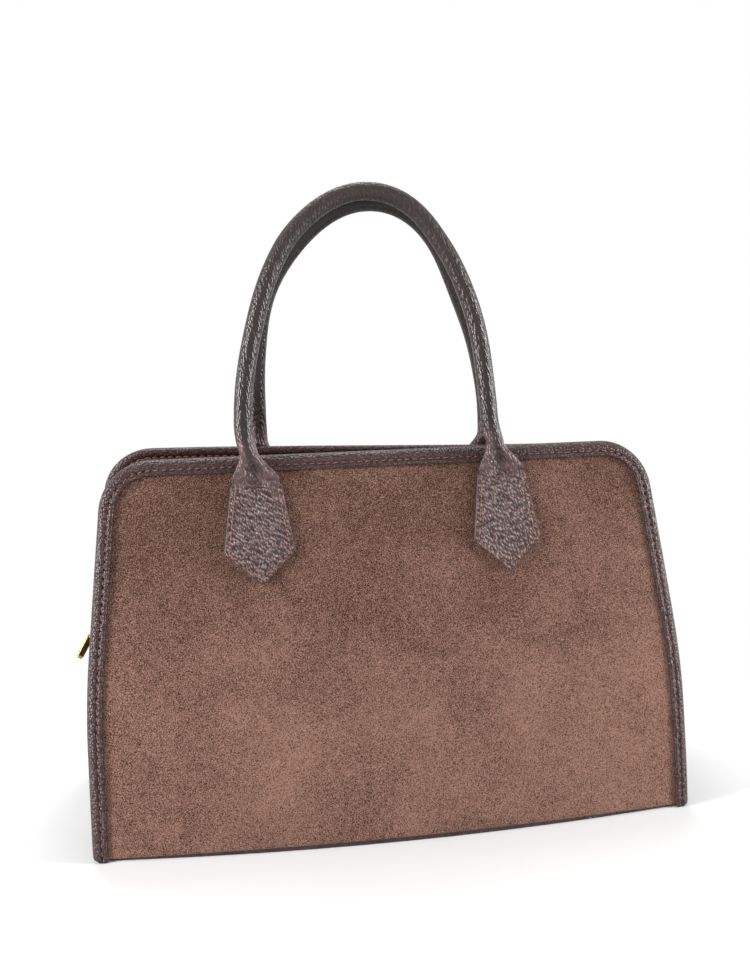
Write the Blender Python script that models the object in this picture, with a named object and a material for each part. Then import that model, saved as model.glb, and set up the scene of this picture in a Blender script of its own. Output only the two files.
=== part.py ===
"""A suede handbag with bound edges, a zip round its top and two rolled leather handles.

The bag stands on z = 0 with its front towards -Y. Its two suede faces share one outline, a
trapezium with round top corners, and lean towards each other from the base to the top. A leather
binding grips the edge of each face together with the flange of the band that runs between them:
a leather gusset low down on each side, and higher up the leather facings of the zip. Each rolled
handle turns about a line through the tops of its two tabs.
"""

import math

import bmesh
import bpy
from mathutils import Matrix, Vector

MM = 0.001
GAP = 0.3 * MM

# Body outline, seen from the front
BASE_WIDTH = 360 * MM
TOP_WIDTH = 331.4 * MM
BODY_HEIGHT = 223 * MM
CORNER_RADIUS = 31 * MM
KNEE_HEIGHT = 88 * MM
KNEE_BLEND = 25 * MM

# Body section, seen from the side
BASE_DEPTH = 140 * MM
TOP_DEPTH = 44 * MM
LEAN_POWER = 1.3
BELLY = 13 * MM

# Skins
SUEDE = 2.0 * MM
GUSSET_LEATHER = 1.2 * MM
BINDING_LEATHER = 1.2 * MM
BINDING_WIDTH = 9.5 * MM
BINDING_FOOT = 0.5 * MM
BASE_LEATHER = 2.4 * MM
BASE_SETBACK = 2.0 * MM
STIFFENER = 1.0 * MM
STIFFENER_MARGIN = 28 * MM
STIFFENER_FOOT = 15 * MM
LINING = 0.8 * MM
LINING_CORNER = 8 * MM
BASE_BOARD = 2.0 * MM
BOARD_MARGIN = 4 * MM

# Band between the two faces
BAND_INSET = 10 * MM
CROWN_AT_ZIP_END = 9.5 * MM
CROWN_AT_TOP = 1.5 * MM
ZIP_END_HEIGHT = 108.4 * MM

# Zip
ZIP_SLOT = 12 * MM
TAPE = 0.8 * MM
TAPE_REACH = 15.5 * MM
TAPE_TUCK = 4 * MM
CHAIN_HALF_WIDTH = 3.2 * MM
CHAIN_PARTING = 1.2 * MM
CHAIN_HEIGHT = 2.4 * MM
STOP_LENGTH = 2.5 * MM

# Slider, and the pull that hangs on it
SLIDER_LENGTH = 11 * MM
SLIDER_WIDTH = 8 * MM
SLIDER_PLATE = 1.2 * MM
SLIDER_RIM = 0.5 * MM
BAIL_LENGTH = 7.4 * MM
BAIL_WIRE = 1.2 * MM
BAIL_WIDTH = 1.6 * MM
BAIL_WINDOW = 1.8 * MM
PULL_PIN_RADIUS = 0.6 * MM
PULL_CHEEK = 1.0 * MM
PULL_NECK = 5 * MM
PULL_LENGTH = 20.2 * MM
PULL_WIDTH = 4.4 * MM
PULL_THICKNESS = 3.8 * MM
PULL_BEVEL = 0.6 * MM
PULL_TIP = 1.4 * MM
PULL_TIP_GROOVE = 0.5 * MM
PULL_LEAN = math.radians(30)

# Tabs and handles, placed from the body's top
TAB_SPACING = 149 * MM
TAB_SHIFT = 2.5 * MM
TAB_TIP_DROP = 72 * MM
TAB_SHOULDER_DROP = 54 * MM
TAB_WIDTH = 41.5 * MM
TAB_TOP_WIDTH = 30 * MM
TAB_LEATHER = 3.0 * MM
TAB_BEVEL = 0.8 * MM
TAB_HEAD_SLOPE = 2.2 * MM
HINGE_DROP = 16 * MM
NECK_LENGTH = 20 * MM
NECK_CLEAR_SHARE = 0.25
TAB_SQUARENESS = 4
TUBE_SQUARENESS = 2
HANDLE_RADIUS = 6 * MM
HANDLE_LEATHER = 1.7 * MM
HANDLE_SEAM = 0.5 * MM
HANDLE_RISE = 152 * MM
HANDLE_TOP_Y = 9 * MM
FRONT_HANDLE_LEAN = 6.5 * MM
BACK_HANDLE_LEAN = -2 * MM
LEAN_HEIGHT = 35 * MM
ARCH_RISE_POWER = 2.15
ARCH_SPAN_POWER = 2.06
PLUG_LENGTH = 3 * MM
PLUG_PROUD = 0.1 * MM
CORE_SETBACK = 6.6 * MM

# Fineness of the faceted shapes
SIDE_STEP = 20 * MM
CORNER_STEPS = 5
TOP_STEPS = 2
PANEL_COLUMNS = 12
PANEL_ROWS = 8
PANEL_CORNER_ROWS = 4
LAYER_COLUMNS = 8
LAYER_ROWS = 5
LAYER_CORNER_ROWS = 3
ARCH_STATIONS = 22
TUBE_SIDES = 12
BORE_SIDES = 10
CORE_SIDES = 6
NECK_RINGS = 6
NECK_SIDES = 16
BASE_ROWS = 2
TAB_EDGE_STEPS = 2
BEVEL_STEPS = 2
SHARP_ANGLE = math.radians(40)
OVERRUN = 0.5 * MM

# What follows from the sizes above
FRONT, BACK = -1, 1
LEFT, RIGHT = -1, 1
HALF_BASE = BASE_WIDTH / 2
TAPER = (BASE_WIDTH - TOP_WIDTH) / 2 / (BODY_HEIGHT - KNEE_HEIGHT)
TAPER_SECANT = math.hypot(1, TAPER)
ARC_CENTRE_Z = BODY_HEIGHT - CORNER_RADIUS
ARC_CENTRE_X = HALF_BASE - TAPER * (ARC_CENTRE_Z - KNEE_HEIGHT) - CORNER_RADIUS * TAPER_SECANT
ARC_START = math.atan(TAPER)
EDGE_INSET = BINDING_LEATHER + GAP
PANEL_FOOT = BASE_LEATHER + GAP
FLANGE_NEAR = -(SUEDE + GAP)
FLANGE_FAR = FLANGE_NEAR - GUSSET_LEATHER
STIFFENER_FACE = -(SUEDE + GAP)
LINING_FACE = STIFFENER_FACE - STIFFENER - GAP
TAPE_FACE = -(GUSSET_LEATHER + GAP)
CHAIN_FACE = TAPE_FACE - TAPE / 2 + CHAIN_HEIGHT / 2
CHAIN_UNDERSIDE = CHAIN_FACE - CHAIN_HEIGHT
CHAIN_START = ZIP_END_HEIGHT + STOP_LENGTH + 2 * GAP
SLIDER_UNDERSIDE = CHAIN_UNDERSIDE - GAP - SLIDER_PLATE
SLIDER_HEIGHT = CHAIN_START + SLIDER_LENGTH / 2
LINING_DROP = BAND_INSET - SLIDER_UNDERSIDE + GAP
HINGE_HEIGHT = BODY_HEIGHT - HINGE_DROP
HANDLE_TOP_HEIGHT = BODY_HEIGHT + HANDLE_RISE


# Shape of the body

def half_width(z):
    """Half the outline's width at a height, before its top corners are rounded."""
    above = z - (KNEE_HEIGHT - KNEE_BLEND)
    if above <= 0:
        return HALF_BASE
    if above < 2 * KNEE_BLEND:
        return HALF_BASE - TAPER * above * above / (4 * KNEE_BLEND)
    return HALF_BASE - TAPER * (z - KNEE_HEIGHT)


def inset_half_width(z, inset):
    """Half the width at a height of the outline drawn this far inside its edge."""
    radius = CORNER_RADIUS - inset
    if z <= ARC_CENTRE_Z + radius * math.sin(ARC_START):
        return half_width(z) - inset * TAPER_SECANT
    rise = min(z - ARC_CENTRE_Z, radius)
    return ARC_CENTRE_X + math.sqrt(radius * radius - rise * rise)


def half_depth(x, z):
    """How far a suede face's outer side stands from the middle plane."""
    share = min(max(z / BODY_HEIGHT, 0), 1)
    leaning = BASE_DEPTH / 2 - (BASE_DEPTH - TOP_DEPTH) / 2 * share ** LEAN_POWER
    return leaning + BELLY * (1 - share * share) * (1 - (x / half_width(z)) ** 2)


def crown(z):
    """How far the band's middle stands proud of its two seams, at a height on the side."""
    top = ARC_CENTRE_Z + CORNER_RADIUS * math.sin(ARC_START)
    slope = (CROWN_AT_ZIP_END - CROWN_AT_TOP) / (top - ZIP_END_HEIGHT)
    if z >= top:
        return CROWN_AT_TOP
    straight = CROWN_AT_ZIP_END - slope * (z - ZIP_END_HEIGHT)
    if z >= ZIP_END_HEIGHT:
        return straight
    below = (ZIP_END_HEIGHT - z) / ZIP_END_HEIGHT
    return straight - (CROWN_AT_ZIP_END + slope * ZIP_END_HEIGHT) * below * below


class Station:
    """A point of the outline with its outward direction, seen from the front."""

    def __init__(self, x, z, normal_x, normal_z):
        length = math.hypot(normal_x, normal_z)
        self.x, self.z = x, z
        self.nx, self.nz = normal_x / length, normal_z / length

    def mirrored(self):
        return Station(-self.x, self.z, -self.nx, self.nz)

    def face_point(self, inset, side, layer):
        """A point this far inside the edge, and this far outside a face's outer side."""
        x, z = self.x - self.nx * inset, self.z - self.nz * inset
        return Vector((x, side * (half_depth(x, z) + layer), z))

    def seam(self):
        """Half the width of the band between its two flanges."""
        return abs(self.face_point(BAND_INSET, BACK, FLANGE_FAR).y)

    def crease(self):
        """Half the width of the part of the band that swells, between its two bindings."""
        return self.seam() - BINDING_LEATHER - 2 * GAP

    def bends(self):
        """Where one half of the band is bent, from its binding in to the zip's slot."""
        return [self.crease(), (self.crease() + TAPE_REACH) / 2, TAPE_REACH, ZIP_SLOT / 2]

    def band_point(self, y, rise):
        """A point of the band at this y, this far outside its outer side."""
        swell = crown(self.z) * max(0, 1 - (y / self.crease()) ** 2)
        inset = BAND_INSET - swell - rise
        return Vector((self.x - self.nx * inset, y, self.z - self.nz * inset))


def side_stations(low, high):
    """Stations up the right side between two heights below the corner."""
    count = max(1, round((high - low) / SIDE_STEP))
    made = []
    for i in range(count + 1):
        z = low + (high - low) * i / count
        bent = min(max((z - KNEE_HEIGHT + KNEE_BLEND) / (2 * KNEE_BLEND), 0), 1)
        made.append(Station(half_width(z), z, 1, TAPER * bent))
    return made


def outline(low):
    """Stations from the left side at a height, over the top and down to it on the right."""
    top_of_side = ARC_CENTRE_Z + CORNER_RADIUS * math.sin(ARC_START)
    half = side_stations(low, top_of_side)
    for i in range(1, CORNER_STEPS + 1):
        angle = ARC_START + (math.pi / 2 - ARC_START) * i / CORNER_STEPS
        nx, nz = math.cos(angle), math.sin(angle)
        half.append(Station(ARC_CENTRE_X + CORNER_RADIUS * nx, ARC_CENTRE_Z + CORNER_RADIUS * nz, nx, nz))
    for i in range(1, TOP_STEPS + 1):
        half.append(Station(ARC_CENTRE_X * (1 - i / TOP_STEPS), BODY_HEIGHT, 0, 1))
    return [station.mirrored() for station in half] + half[-2::-1]


# Making objects

def material(name, colour, roughness, metallic=0.0):
    made = bpy.data.materials.new(name)
    made.use_nodes = True
    shader = made.node_tree.nodes["Principled BSDF"]
    shader.inputs["Base Color"].default_value = (*colour, 1.0)
    shader.inputs["Roughness"].default_value = roughness
    shader.inputs["Metallic"].default_value = metallic
    return made


def finish_mesh(name, bm, finish, smooth=True):
    """Turns a bmesh into an object with its faces outwards."""
    bmesh.ops.recalc_face_normals(bm, faces=bm.faces)
    if bm.calc_volume(signed=True) < 0:
        bmesh.ops.reverse_faces(bm, faces=bm.faces)
    mesh = bpy.data.meshes.new(name)
    bm.to_mesh(mesh)
    bm.free()
    mesh.materials.append(finish)
    if smooth:
        mesh.shade_smooth()
        mesh.set_sharp_from_angle(angle=SHARP_ANGLE)
    made = bpy.data.objects.new(name, mesh)
    bpy.context.scene.collection.objects.link(made)
    return made


def sweep(name, rings, finish):
    """A closed solid through equal rings of points, drawn from one to the next."""
    bm = bmesh.new()
    verts = [bm.verts.new(point) for point in rings[0]]
    edges = [bm.edges.new(pair) for pair in zip(verts, verts[1:] + verts[:1])]
    first = list(edges)
    for ring in rings[1:]:
        drawn = bmesh.ops.extrude_edge_only(bm, edges=edges)["geom"]
        fresh = {item for item in drawn if isinstance(item, bmesh.types.BMVert)}
        verts = [next(e.other_vert(v) for e in v.link_edges if e.other_vert(v) in fresh) for v in verts]
        for vert, point in zip(verts, ring):
            vert.co = point
        edges = [bm.edges.get(pair) for pair in zip(verts, verts[1:] + verts[:1])]
    bmesh.ops.contextual_create(bm, geom=first)
    bmesh.ops.contextual_create(bm, geom=edges)
    return finish_mesh(name, bm, finish)


def sheet(name, columns, rows, place, finish):
    """A solid sheet: place(u, v, under) gives a point, with u and v in -1..1 and under 0 or 1."""
    bm = bmesh.new()
    bmesh.ops.create_grid(bm, x_segments=columns, y_segments=rows, size=1)
    drawn = bmesh.ops.extrude_face_region(bm, geom=bm.faces[:])["geom"]
    lowered = [item for item in drawn if isinstance(item, bmesh.types.BMVert)]
    bmesh.ops.translate(bm, verts=lowered, vec=(0, 0, 1))
    for vert in bm.verts:
        vert.co = place(vert.co.x, vert.co.y, vert.co.z)
    return finish_mesh(name, bm, finish)


def block(name, low, high, finish, bevel=0.0):
    """A box between two corners, with all its edges rounded when a bevel is given."""
    bm = bmesh.new()
    middle = (low + high) / 2
    size = high - low
    bmesh.ops.create_cube(bm, size=1, matrix=Matrix.Translation(middle) @ Matrix.Diagonal((*size, 1)))
    if bevel:
        bmesh.ops.bevel(bm, geom=bm.edges[:], offset=bevel, affect="EDGES", segments=BEVEL_STEPS, profile=0.5)
    return finish_mesh(name, bm, finish)


def rod(name, middle, axis, radius, length, sides, finish):
    """A round bar along an axis."""
    bm = bmesh.new()
    turn = Vector((0, 0, 1)).rotation_difference(axis).to_matrix().to_4x4()
    bmesh.ops.create_cone(
        bm, cap_ends=True, segments=sides, radius1=radius, radius2=radius, depth=length,
        matrix=Matrix.Translation(middle) @ turn,
    )
    return finish_mesh(name, bm, finish)


def combine(made, other, operation="UNION"):
    """Joins another shape to an object, or cuts it out, and keeps the other as a hidden helper."""
    step = made.modifiers.new(other.name, "BOOLEAN")
    step.operation = operation
    step.object = other
    other.hide_render = True
    other.display_type = "WIRE"


def hang_on(joint, made):
    """Puts an object and its helpers under a joint's empty, with their origin on the joint's axis."""
    made.data.transform(Matrix.Translation(-joint.matrix_world.translation))
    made.parent = joint
    for step in made.modifiers:
        hang_on(joint, step.object)


def pivot(name, point, parent=None):
    """An empty on a joint's axis."""
    made = bpy.data.objects.new(name, None)
    bpy.context.scene.collection.objects.link(made)
    made.location = point if parent is None else point - parent.matrix_world.translation
    made.parent = parent
    bpy.context.view_layer.update()
    return made


# Faces and their inner layers

def face_sheet(name, side, inset, foot, outer, thickness, grid, finish):
    """A layer of a face: outer is how far its outer side lies outside the suede's."""
    columns, side_rows, corner_rows = grid
    rows = side_rows + corner_rows
    radius = CORNER_RADIUS - inset
    side_top = ARC_CENTRE_Z + radius * math.sin(ARC_START)
    heights = [foot + (side_top - foot) * i / side_rows for i in range(side_rows + 1)]
    for i in range(1, corner_rows + 1):
        angle = ARC_START + (math.pi / 2 - ARC_START) * i / corner_rows
        heights.append(ARC_CENTRE_Z + radius * math.sin(angle))

    def place(u, v, under):
        z = heights[round((v + 1) / 2 * rows)]
        x = u * inset_half_width(z, inset)
        return Vector((x, side * (half_depth(x, z) + outer - thickness * under), z))

    return sheet(name, columns, rows, place, finish)


def make_faces(suede, board, fabric):
    panel_grid = (PANEL_COLUMNS, PANEL_ROWS, PANEL_CORNER_ROWS)
    layer_grid = (LAYER_COLUMNS, LAYER_ROWS, LAYER_CORNER_ROWS)
    lining_foot = PANEL_FOOT + BASE_BOARD + LINING + 2 * GAP
    for side, word in ((FRONT, "front"), (BACK, "back")):
        face_sheet(f"{word}_panel", side, EDGE_INSET, PANEL_FOOT, 0, SUEDE, panel_grid, suede)
        face_sheet(
            f"{word}_stiffener", side, STIFFENER_MARGIN, STIFFENER_FOOT, STIFFENER_FACE, STIFFENER,
            layer_grid, board,
        )
        face_sheet(f"{word}_lining", side, LINING_DROP, lining_foot, LINING_FACE, LINING, layer_grid, fabric)


def make_base(leather, board):
    """The leather base, and the board that lies on it inside the bag."""
    half_length = HALF_BASE - BINDING_WIDTH - GAP

    def base_point(u, v, under):
        x = u * half_length
        return Vector((x, v * (half_depth(x, 0) - BASE_SETBACK), BASE_LEATHER * (1 - under)))

    def board_point(u, v, under):
        x = u * (half_length - GUSSET_LEATHER - BOARD_MARGIN)
        y = v * (half_depth(x, PANEL_FOOT + BASE_BOARD) - SUEDE - BOARD_MARGIN)
        return Vector((x, y, PANEL_FOOT + BASE_BOARD * (1 - under)))

    sheet("base_panel", PANEL_COLUMNS, BASE_ROWS, base_point, leather)
    sheet("base_board", PANEL_COLUMNS, BASE_ROWS, board_point, board)


def make_side_lining(fabric):
    """One strip of lining: down the left side, along the base and up the right side."""
    floor = PANEL_FOOT + BASE_BOARD + GAP + LINING
    drop = LINING_DROP
    top = BODY_HEIGHT - CORNER_RADIUS
    path = []
    for station in side_stations(floor + LINING_CORNER, top):
        path.append((station.x - station.nx * drop, station.z, 1, 0))
    corner_x = HALF_BASE - drop - LINING_CORNER
    for i in range(1, CORNER_STEPS + 1):
        angle = -math.pi / 2 * i / CORNER_STEPS
        nx, nz = math.cos(angle), math.sin(angle)
        path.insert(0, (corner_x + LINING_CORNER * nx, floor + LINING_CORNER + LINING_CORNER * nz, nx, nz))
    for i in range(1, TOP_STEPS + 1):
        path.insert(0, (corner_x * (1 - i / TOP_STEPS), floor, 0, -1))
    path = [(-x, z, -nx, nz) for x, z, nx, nz in path[::-1]] + path[1:]
    rings = []
    for x, z, nx, nz in path:
        inner_x, inner_z = x, z
        outer_x, outer_z = x + nx * LINING, z + nz * LINING
        inner_y = half_depth(inner_x, inner_z) + LINING_FACE - LINING - GAP
        outer_y = half_depth(outer_x, outer_z) + LINING_FACE - LINING - GAP
        rings.append([
            (inner_x, -inner_y, inner_z), (inner_x, inner_y, inner_z),
            (outer_x, outer_y, outer_z), (outer_x, -outer_y, outer_z),
        ])
    sweep("side_lining", rings, fabric)


def make_bindings(leather):
    """Each binding is a folded strip, open inwards, round the face's edge and the band's flange."""
    near = GAP + BINDING_LEATHER
    far = FLANGE_FAR - GAP - BINDING_LEATHER
    section = (
        (BINDING_WIDTH, near), (BINDING_LEATHER, near), (0.0, GAP), (0.0, far + BINDING_LEATHER),
        (BINDING_LEATHER, far), (BINDING_WIDTH, far), (BINDING_WIDTH, far + BINDING_LEATHER),
        (BINDING_LEATHER, far + BINDING_LEATHER), (BINDING_LEATHER, GAP), (BINDING_WIDTH, GAP),
    )
    for side, word in ((FRONT, "front"), (BACK, "back")):
        rings = [[s.face_point(inset, side, layer) for inset, layer in section] for s in outline(BINDING_FOOT)]
        sweep(f"{word}_binding", rings, leather)


# Band

def flange(station, side, layer):
    """The flange's tip and the place where it turns into the band, on one of its two sides."""
    depth = BAND_INSET + (GUSSET_LEATHER if layer == FLANGE_NEAR else 0)
    return [station.face_point(EDGE_INSET, side, layer), station.face_point(depth, side, layer)]


def make_gussets(leather):
    """The leather of each side below the zip: a crowned band with a flange on both seams."""
    for side, word in ((LEFT, "left"), (RIGHT, "right")):
        rings = []
        for station in side_stations(PANEL_FOOT, ZIP_END_HEIGHT):
            placed = station if side == RIGHT else station.mirrored()
            ys = placed.bends() + [-y for y in placed.bends()[::-1]]
            outer = [placed.band_point(y, 0) for y in ys]
            inner = [placed.band_point(y, -GUSSET_LEATHER) for y in ys]
            ring = flange(placed, BACK, FLANGE_FAR) + outer + flange(placed, FRONT, FLANGE_FAR)[::-1]
            ring += flange(placed, FRONT, FLANGE_NEAR) + inner[::-1] + flange(placed, BACK, FLANGE_NEAR)[::-1]
            rings.append(ring)
        sweep(f"{word}_gusset", rings, leather)


def make_zip(leather, textile, metal):
    """The facings, tapes and toothed chains round the top, and a stop at each end."""
    slot = ZIP_SLOT / 2
    tape_edge = CHAIN_HALF_WIDTH + GAP
    tape_section = (
        (tape_edge, TAPE_FACE), (slot, TAPE_FACE), (TAPE_REACH, TAPE_FACE),
        (TAPE_REACH, TAPE_FACE - TAPE), (slot, TAPE_FACE - TAPE), (tape_edge, TAPE_FACE - TAPE),
    )
    chain_section = (
        (CHAIN_PARTING / 2, CHAIN_FACE), (CHAIN_HALF_WIDTH, CHAIN_FACE),
        (CHAIN_HALF_WIDTH, CHAIN_UNDERSIDE), (CHAIN_PARTING / 2, CHAIN_UNDERSIDE),
    )
    stop_section = (
        (-CHAIN_HALF_WIDTH, CHAIN_FACE), (CHAIN_HALF_WIDTH, CHAIN_FACE),
        (CHAIN_HALF_WIDTH, CHAIN_UNDERSIDE), (-CHAIN_HALF_WIDTH, CHAIN_UNDERSIDE),
    )
    for side, word in ((FRONT, "front"), (BACK, "back")):
        facing, tape, chain = [], [], []
        for station in outline(ZIP_END_HEIGHT + GAP):
            ys = [side * y for y in station.bends()]
            outer = [station.band_point(y, 0) for y in ys]
            inner = [station.band_point(y, -GUSSET_LEATHER) for y in ys]
            ring = flange(station, side, FLANGE_FAR) + outer
            facing.append(ring + inner[::-1] + flange(station, side, FLANGE_NEAR)[::-1])
        for station in outline(ZIP_END_HEIGHT - TAPE_TUCK):
            tape.append([station.band_point(side * y, rise) for y, rise in tape_section])
        for station in outline(CHAIN_START):
            chain.append([station.band_point(side * y, rise) for y, rise in chain_section])
        sweep(f"{word}_zip_facing", facing, leather)
        sweep(f"{word}_zip_tape", tape, textile)
        sweep(f"{word}_zip_chain", chain, metal)
    for side, word in ((LEFT, "left"), (RIGHT, "right")):
        rings = []
        for station in side_stations(ZIP_END_HEIGHT + GAP, ZIP_END_HEIGHT + GAP + STOP_LENGTH):
            placed = station if side == RIGHT else station.mirrored()
            rings.append([placed.band_point(y, rise) for y, rise in stop_section])
        sweep(f"{word}_zip_stop", rings, metal)


# Slider and pull

def track_frame():
    """The zip's straight run up the left side: +X outwards, +Z up the run, at the slider's middle."""
    lower, middle = (
        side_stations(height, height)[0].mirrored().band_point(0, 0)
        for height in (ZIP_END_HEIGHT, SLIDER_HEIGHT)
    )
    up = (middle - lower).normalized()
    across = Vector((0, -1, 0))
    frame = Matrix((across.cross(up), across, up)).transposed().to_4x4()
    frame.translation = middle
    return frame


def make_slider(metal):
    """The slider rides on the chain; the pull's pin lies in the window of its bail."""
    frame = track_frame()
    half_length, half_wide = SLIDER_LENGTH / 2, SLIDER_WIDTH / 2
    plate_low = CHAIN_FACE + GAP
    plate_high = plate_low + SLIDER_PLATE
    rim_low = TAPE_FACE + GAP
    pin_x = plate_high + GAP + PULL_PIN_RADIUS
    bail_top = plate_high + BAIL_WINDOW
    web = CHAIN_PARTING / 2 - GAP

    def local_block(name, low, high, finish=metal, bevel=0.0):
        made = block(name, Vector(low), Vector(high), finish, bevel)
        made.data.transform(frame)
        return made

    slider = local_block(
        "zip_slider", (plate_low, -half_wide, -half_length), (plate_high, half_wide, half_length),
    )
    combine(slider, local_block(
        "slider_web", (CHAIN_UNDERSIDE - GAP - SLIDER_PLATE / 2, -web, -half_length + OVERRUN),
        (plate_low + OVERRUN, web, half_length - OVERRUN),
    ))
    combine(slider, local_block(
        "slider_underplate", (SLIDER_UNDERSIDE, -CHAIN_HALF_WIDTH, -half_length + OVERRUN / 2),
        (SLIDER_UNDERSIDE + SLIDER_PLATE, CHAIN_HALF_WIDTH, half_length - OVERRUN / 2),
    ))
    for side in (LEFT, RIGHT):
        ys = sorted((side * (half_wide - SLIDER_RIM), side * (half_wide + OVERRUN)))
        combine(slider, local_block(
            f"slider_rim_{side}", (rim_low, ys[0], -half_length + OVERRUN),
            (plate_high - OVERRUN, ys[1], half_length - OVERRUN),
        ))
    bail = local_block(
        "slider_bail", (plate_high - OVERRUN, -BAIL_WIDTH / 2, -BAIL_LENGTH / 2),
        (bail_top + BAIL_WIRE, BAIL_WIDTH / 2, BAIL_LENGTH / 2),
    )
    combine(bail, local_block(
        "bail_window", (plate_high, -BAIL_WIDTH, BAIL_WIRE - BAIL_LENGTH / 2),
        (bail_top, BAIL_WIDTH, BAIL_LENGTH / 2 - BAIL_WIRE),
    ), "DIFFERENCE")
    combine(slider, bail)
    pin = frame @ Vector((pin_x, 0, 0))
    slide = pivot("zip_slide_pivot", frame.translation)
    hang_on(slide, slider)
    make_pull(metal, pin, slide)


def make_pull(metal, pin, slide):
    """The pull hangs down from its pin, leaning out from the bag's side by PULL_LEAN."""
    turn = Matrix.Translation(pin) @ Matrix.Rotation(PULL_LEAN, 4, "Y")
    cheek_inner = BAIL_WIDTH / 2 + GAP
    cheek_outer = cheek_inner + PULL_CHEEK
    half_thick, half_wide = PULL_THICKNESS / 2, PULL_WIDTH / 2

    def local_block(name, low, high, bevel=0.0):
        made = block(name, Vector(low), Vector(high), metal, bevel)
        made.data.transform(turn)
        return made

    bar = local_block(
        "zip_pull", (-half_thick, -half_wide, -PULL_LENGTH + PULL_TIP), (half_thick, half_wide, -PULL_NECK),
        PULL_BEVEL,
    )
    combine(bar, local_block(
        "pull_tip", (-half_thick + PULL_TIP_GROOVE, -half_wide + PULL_TIP_GROOVE, -PULL_LENGTH),
        (half_thick - PULL_TIP_GROOVE, half_wide - PULL_TIP_GROOVE, -PULL_LENGTH + PULL_TIP + OVERRUN),
    ))
    for side in (LEFT, RIGHT):
        ys = sorted((side * cheek_inner, side * cheek_outer))
        combine(bar, local_block(
            f"pull_cheek_{side}", (-PULL_PIN_RADIUS, ys[0], -PULL_NECK - 2 * OVERRUN),
            (PULL_PIN_RADIUS, ys[1], 0),
        ))
    combine(bar, rod(
        "pull_pin", pin, Vector((0, 1, 0)), PULL_PIN_RADIUS, 2 * cheek_outer + OVERRUN, TUBE_SIDES, metal,
    ))
    swing = pivot("pull_pivot", pin, slide)
    hang_on(swing, bar)


# Handles

def leg_x(at):
    """The middle of a leg and its tab: the pair sits off the bag's middle by TAB_SHIFT."""
    return at * TAB_SPACING / 2 - TAB_SHIFT


def hinge_y():
    """How far a handle's hinge line stands from the middle plane: in its tabs' own thickness."""
    return half_depth(leg_x(RIGHT) - TAB_TOP_WIDTH / 2, HINGE_HEIGHT) + GAP + TAB_LEATHER / 2


def smooth_step(share):
    share = min(max(share, 0), 1)
    return share * share * (3 - 2 * share)


def lean_at(side, z):
    """How far a handle leans to its own left at a height, seen from the face that it is sewn to."""
    lean = FRONT_HANDLE_LEAN if side == FRONT else BACK_HANDLE_LEAN
    return lean * smooth_step((z - HINGE_HEIGHT) / LEAN_HEIGHT)


def neck_section(share):
    """The neck's middle y, height, half width and half thickness, from the hinge (0) to the tube (1)."""
    z = HINGE_HEIGHT + NECK_LENGTH * share
    rounded = smooth_step(share)
    half_wide = TAB_TOP_WIDTH / 2 + (HANDLE_RADIUS + PLUG_PROUD - TAB_TOP_WIDTH / 2) * rounded
    half_thick = TAB_LEATHER / 2 + (HANDLE_RADIUS + PLUG_PROUD - TAB_LEATHER / 2) * rounded
    standoff = GAP + (BINDING_LEATHER + GAP) * smooth_step(share / NECK_CLEAR_SHARE)
    middle = half_depth(leg_x(RIGHT) - half_wide, z) + standoff + half_thick
    return middle, z, half_wide, half_thick


def arch_point(side, angle):
    """A point of the handle's middle line, from the left leg (pi) over the top to the right (0)."""
    foot_y, foot_z, _, _ = neck_section(1)
    span, rise = TAB_SPACING / 2, HANDLE_TOP_HEIGHT - foot_z
    across = math.copysign(abs(math.cos(angle)) ** (2 / ARCH_SPAN_POWER), math.cos(angle))
    up = abs(math.sin(angle)) ** (2 / ARCH_RISE_POWER)
    z = foot_z + rise * up
    y = foot_y + (HANDLE_TOP_Y - foot_y) * up
    return Vector((span * across - TAB_SHIFT - lean_at(side, z), -y, z))


def arch_path(side):
    return [arch_point(side, math.pi * (1 - i / ARCH_STATIONS)) for i in range(ARCH_STATIONS + 1)]


def tube_rings(path, section):
    """Rings of a section, given as (distance, angle) from the line and from the arch's inner side."""
    rings = []
    for i, point in enumerate(path):
        along = (path[min(i + 1, len(path) - 1)] - path[max(i - 1, 0)]).normalized()
        inner = along.cross(Vector((0, -1, 0))).normalized()
        across = inner.cross(along)
        rings.append([
            point + inner * (radius * math.cos(angle)) + across * (radius * math.sin(angle))
            for radius, angle in section
        ])
    return rings


def turned_about(made, side):
    """The back handle and its tabs are the front ones turned half a turn about the bag's middle."""
    if side == BACK:
        made.data.transform(Matrix.Rotation(math.pi, 4, "Z"))
    return made


def make_neck(name, side, at, leather):
    """The neck flattens the round tube down to its tab, and plugs the tube's end."""
    rings = []
    for i in range(NECK_RINGS + 2):
        share = min(i / NECK_RINGS, 1)
        y, z, half_wide, half_thick = neck_section(share)
        if i > NECK_RINGS:
            z += PLUG_LENGTH
            y -= PLUG_LENGTH * (y - HANDLE_TOP_Y) / (HANDLE_TOP_HEIGHT - z)
        squareness = TAB_SQUARENESS + (TUBE_SQUARENESS - TAB_SQUARENESS) * smooth_step(share)
        ring = []
        for k in range(NECK_SIDES):
            angle = 2 * math.pi * k / NECK_SIDES
            c, s = math.cos(angle), math.sin(angle)
            x = half_wide * math.copysign(abs(c) ** (2 / squareness), c)
            depth = half_thick * math.copysign(abs(s) ** (2 / squareness), s)
            ring.append((leg_x(at) - lean_at(side, z) + x, -y + depth, z))
        rings.append(ring)
    return turned_about(sweep(name, rings, leather), side)


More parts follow.
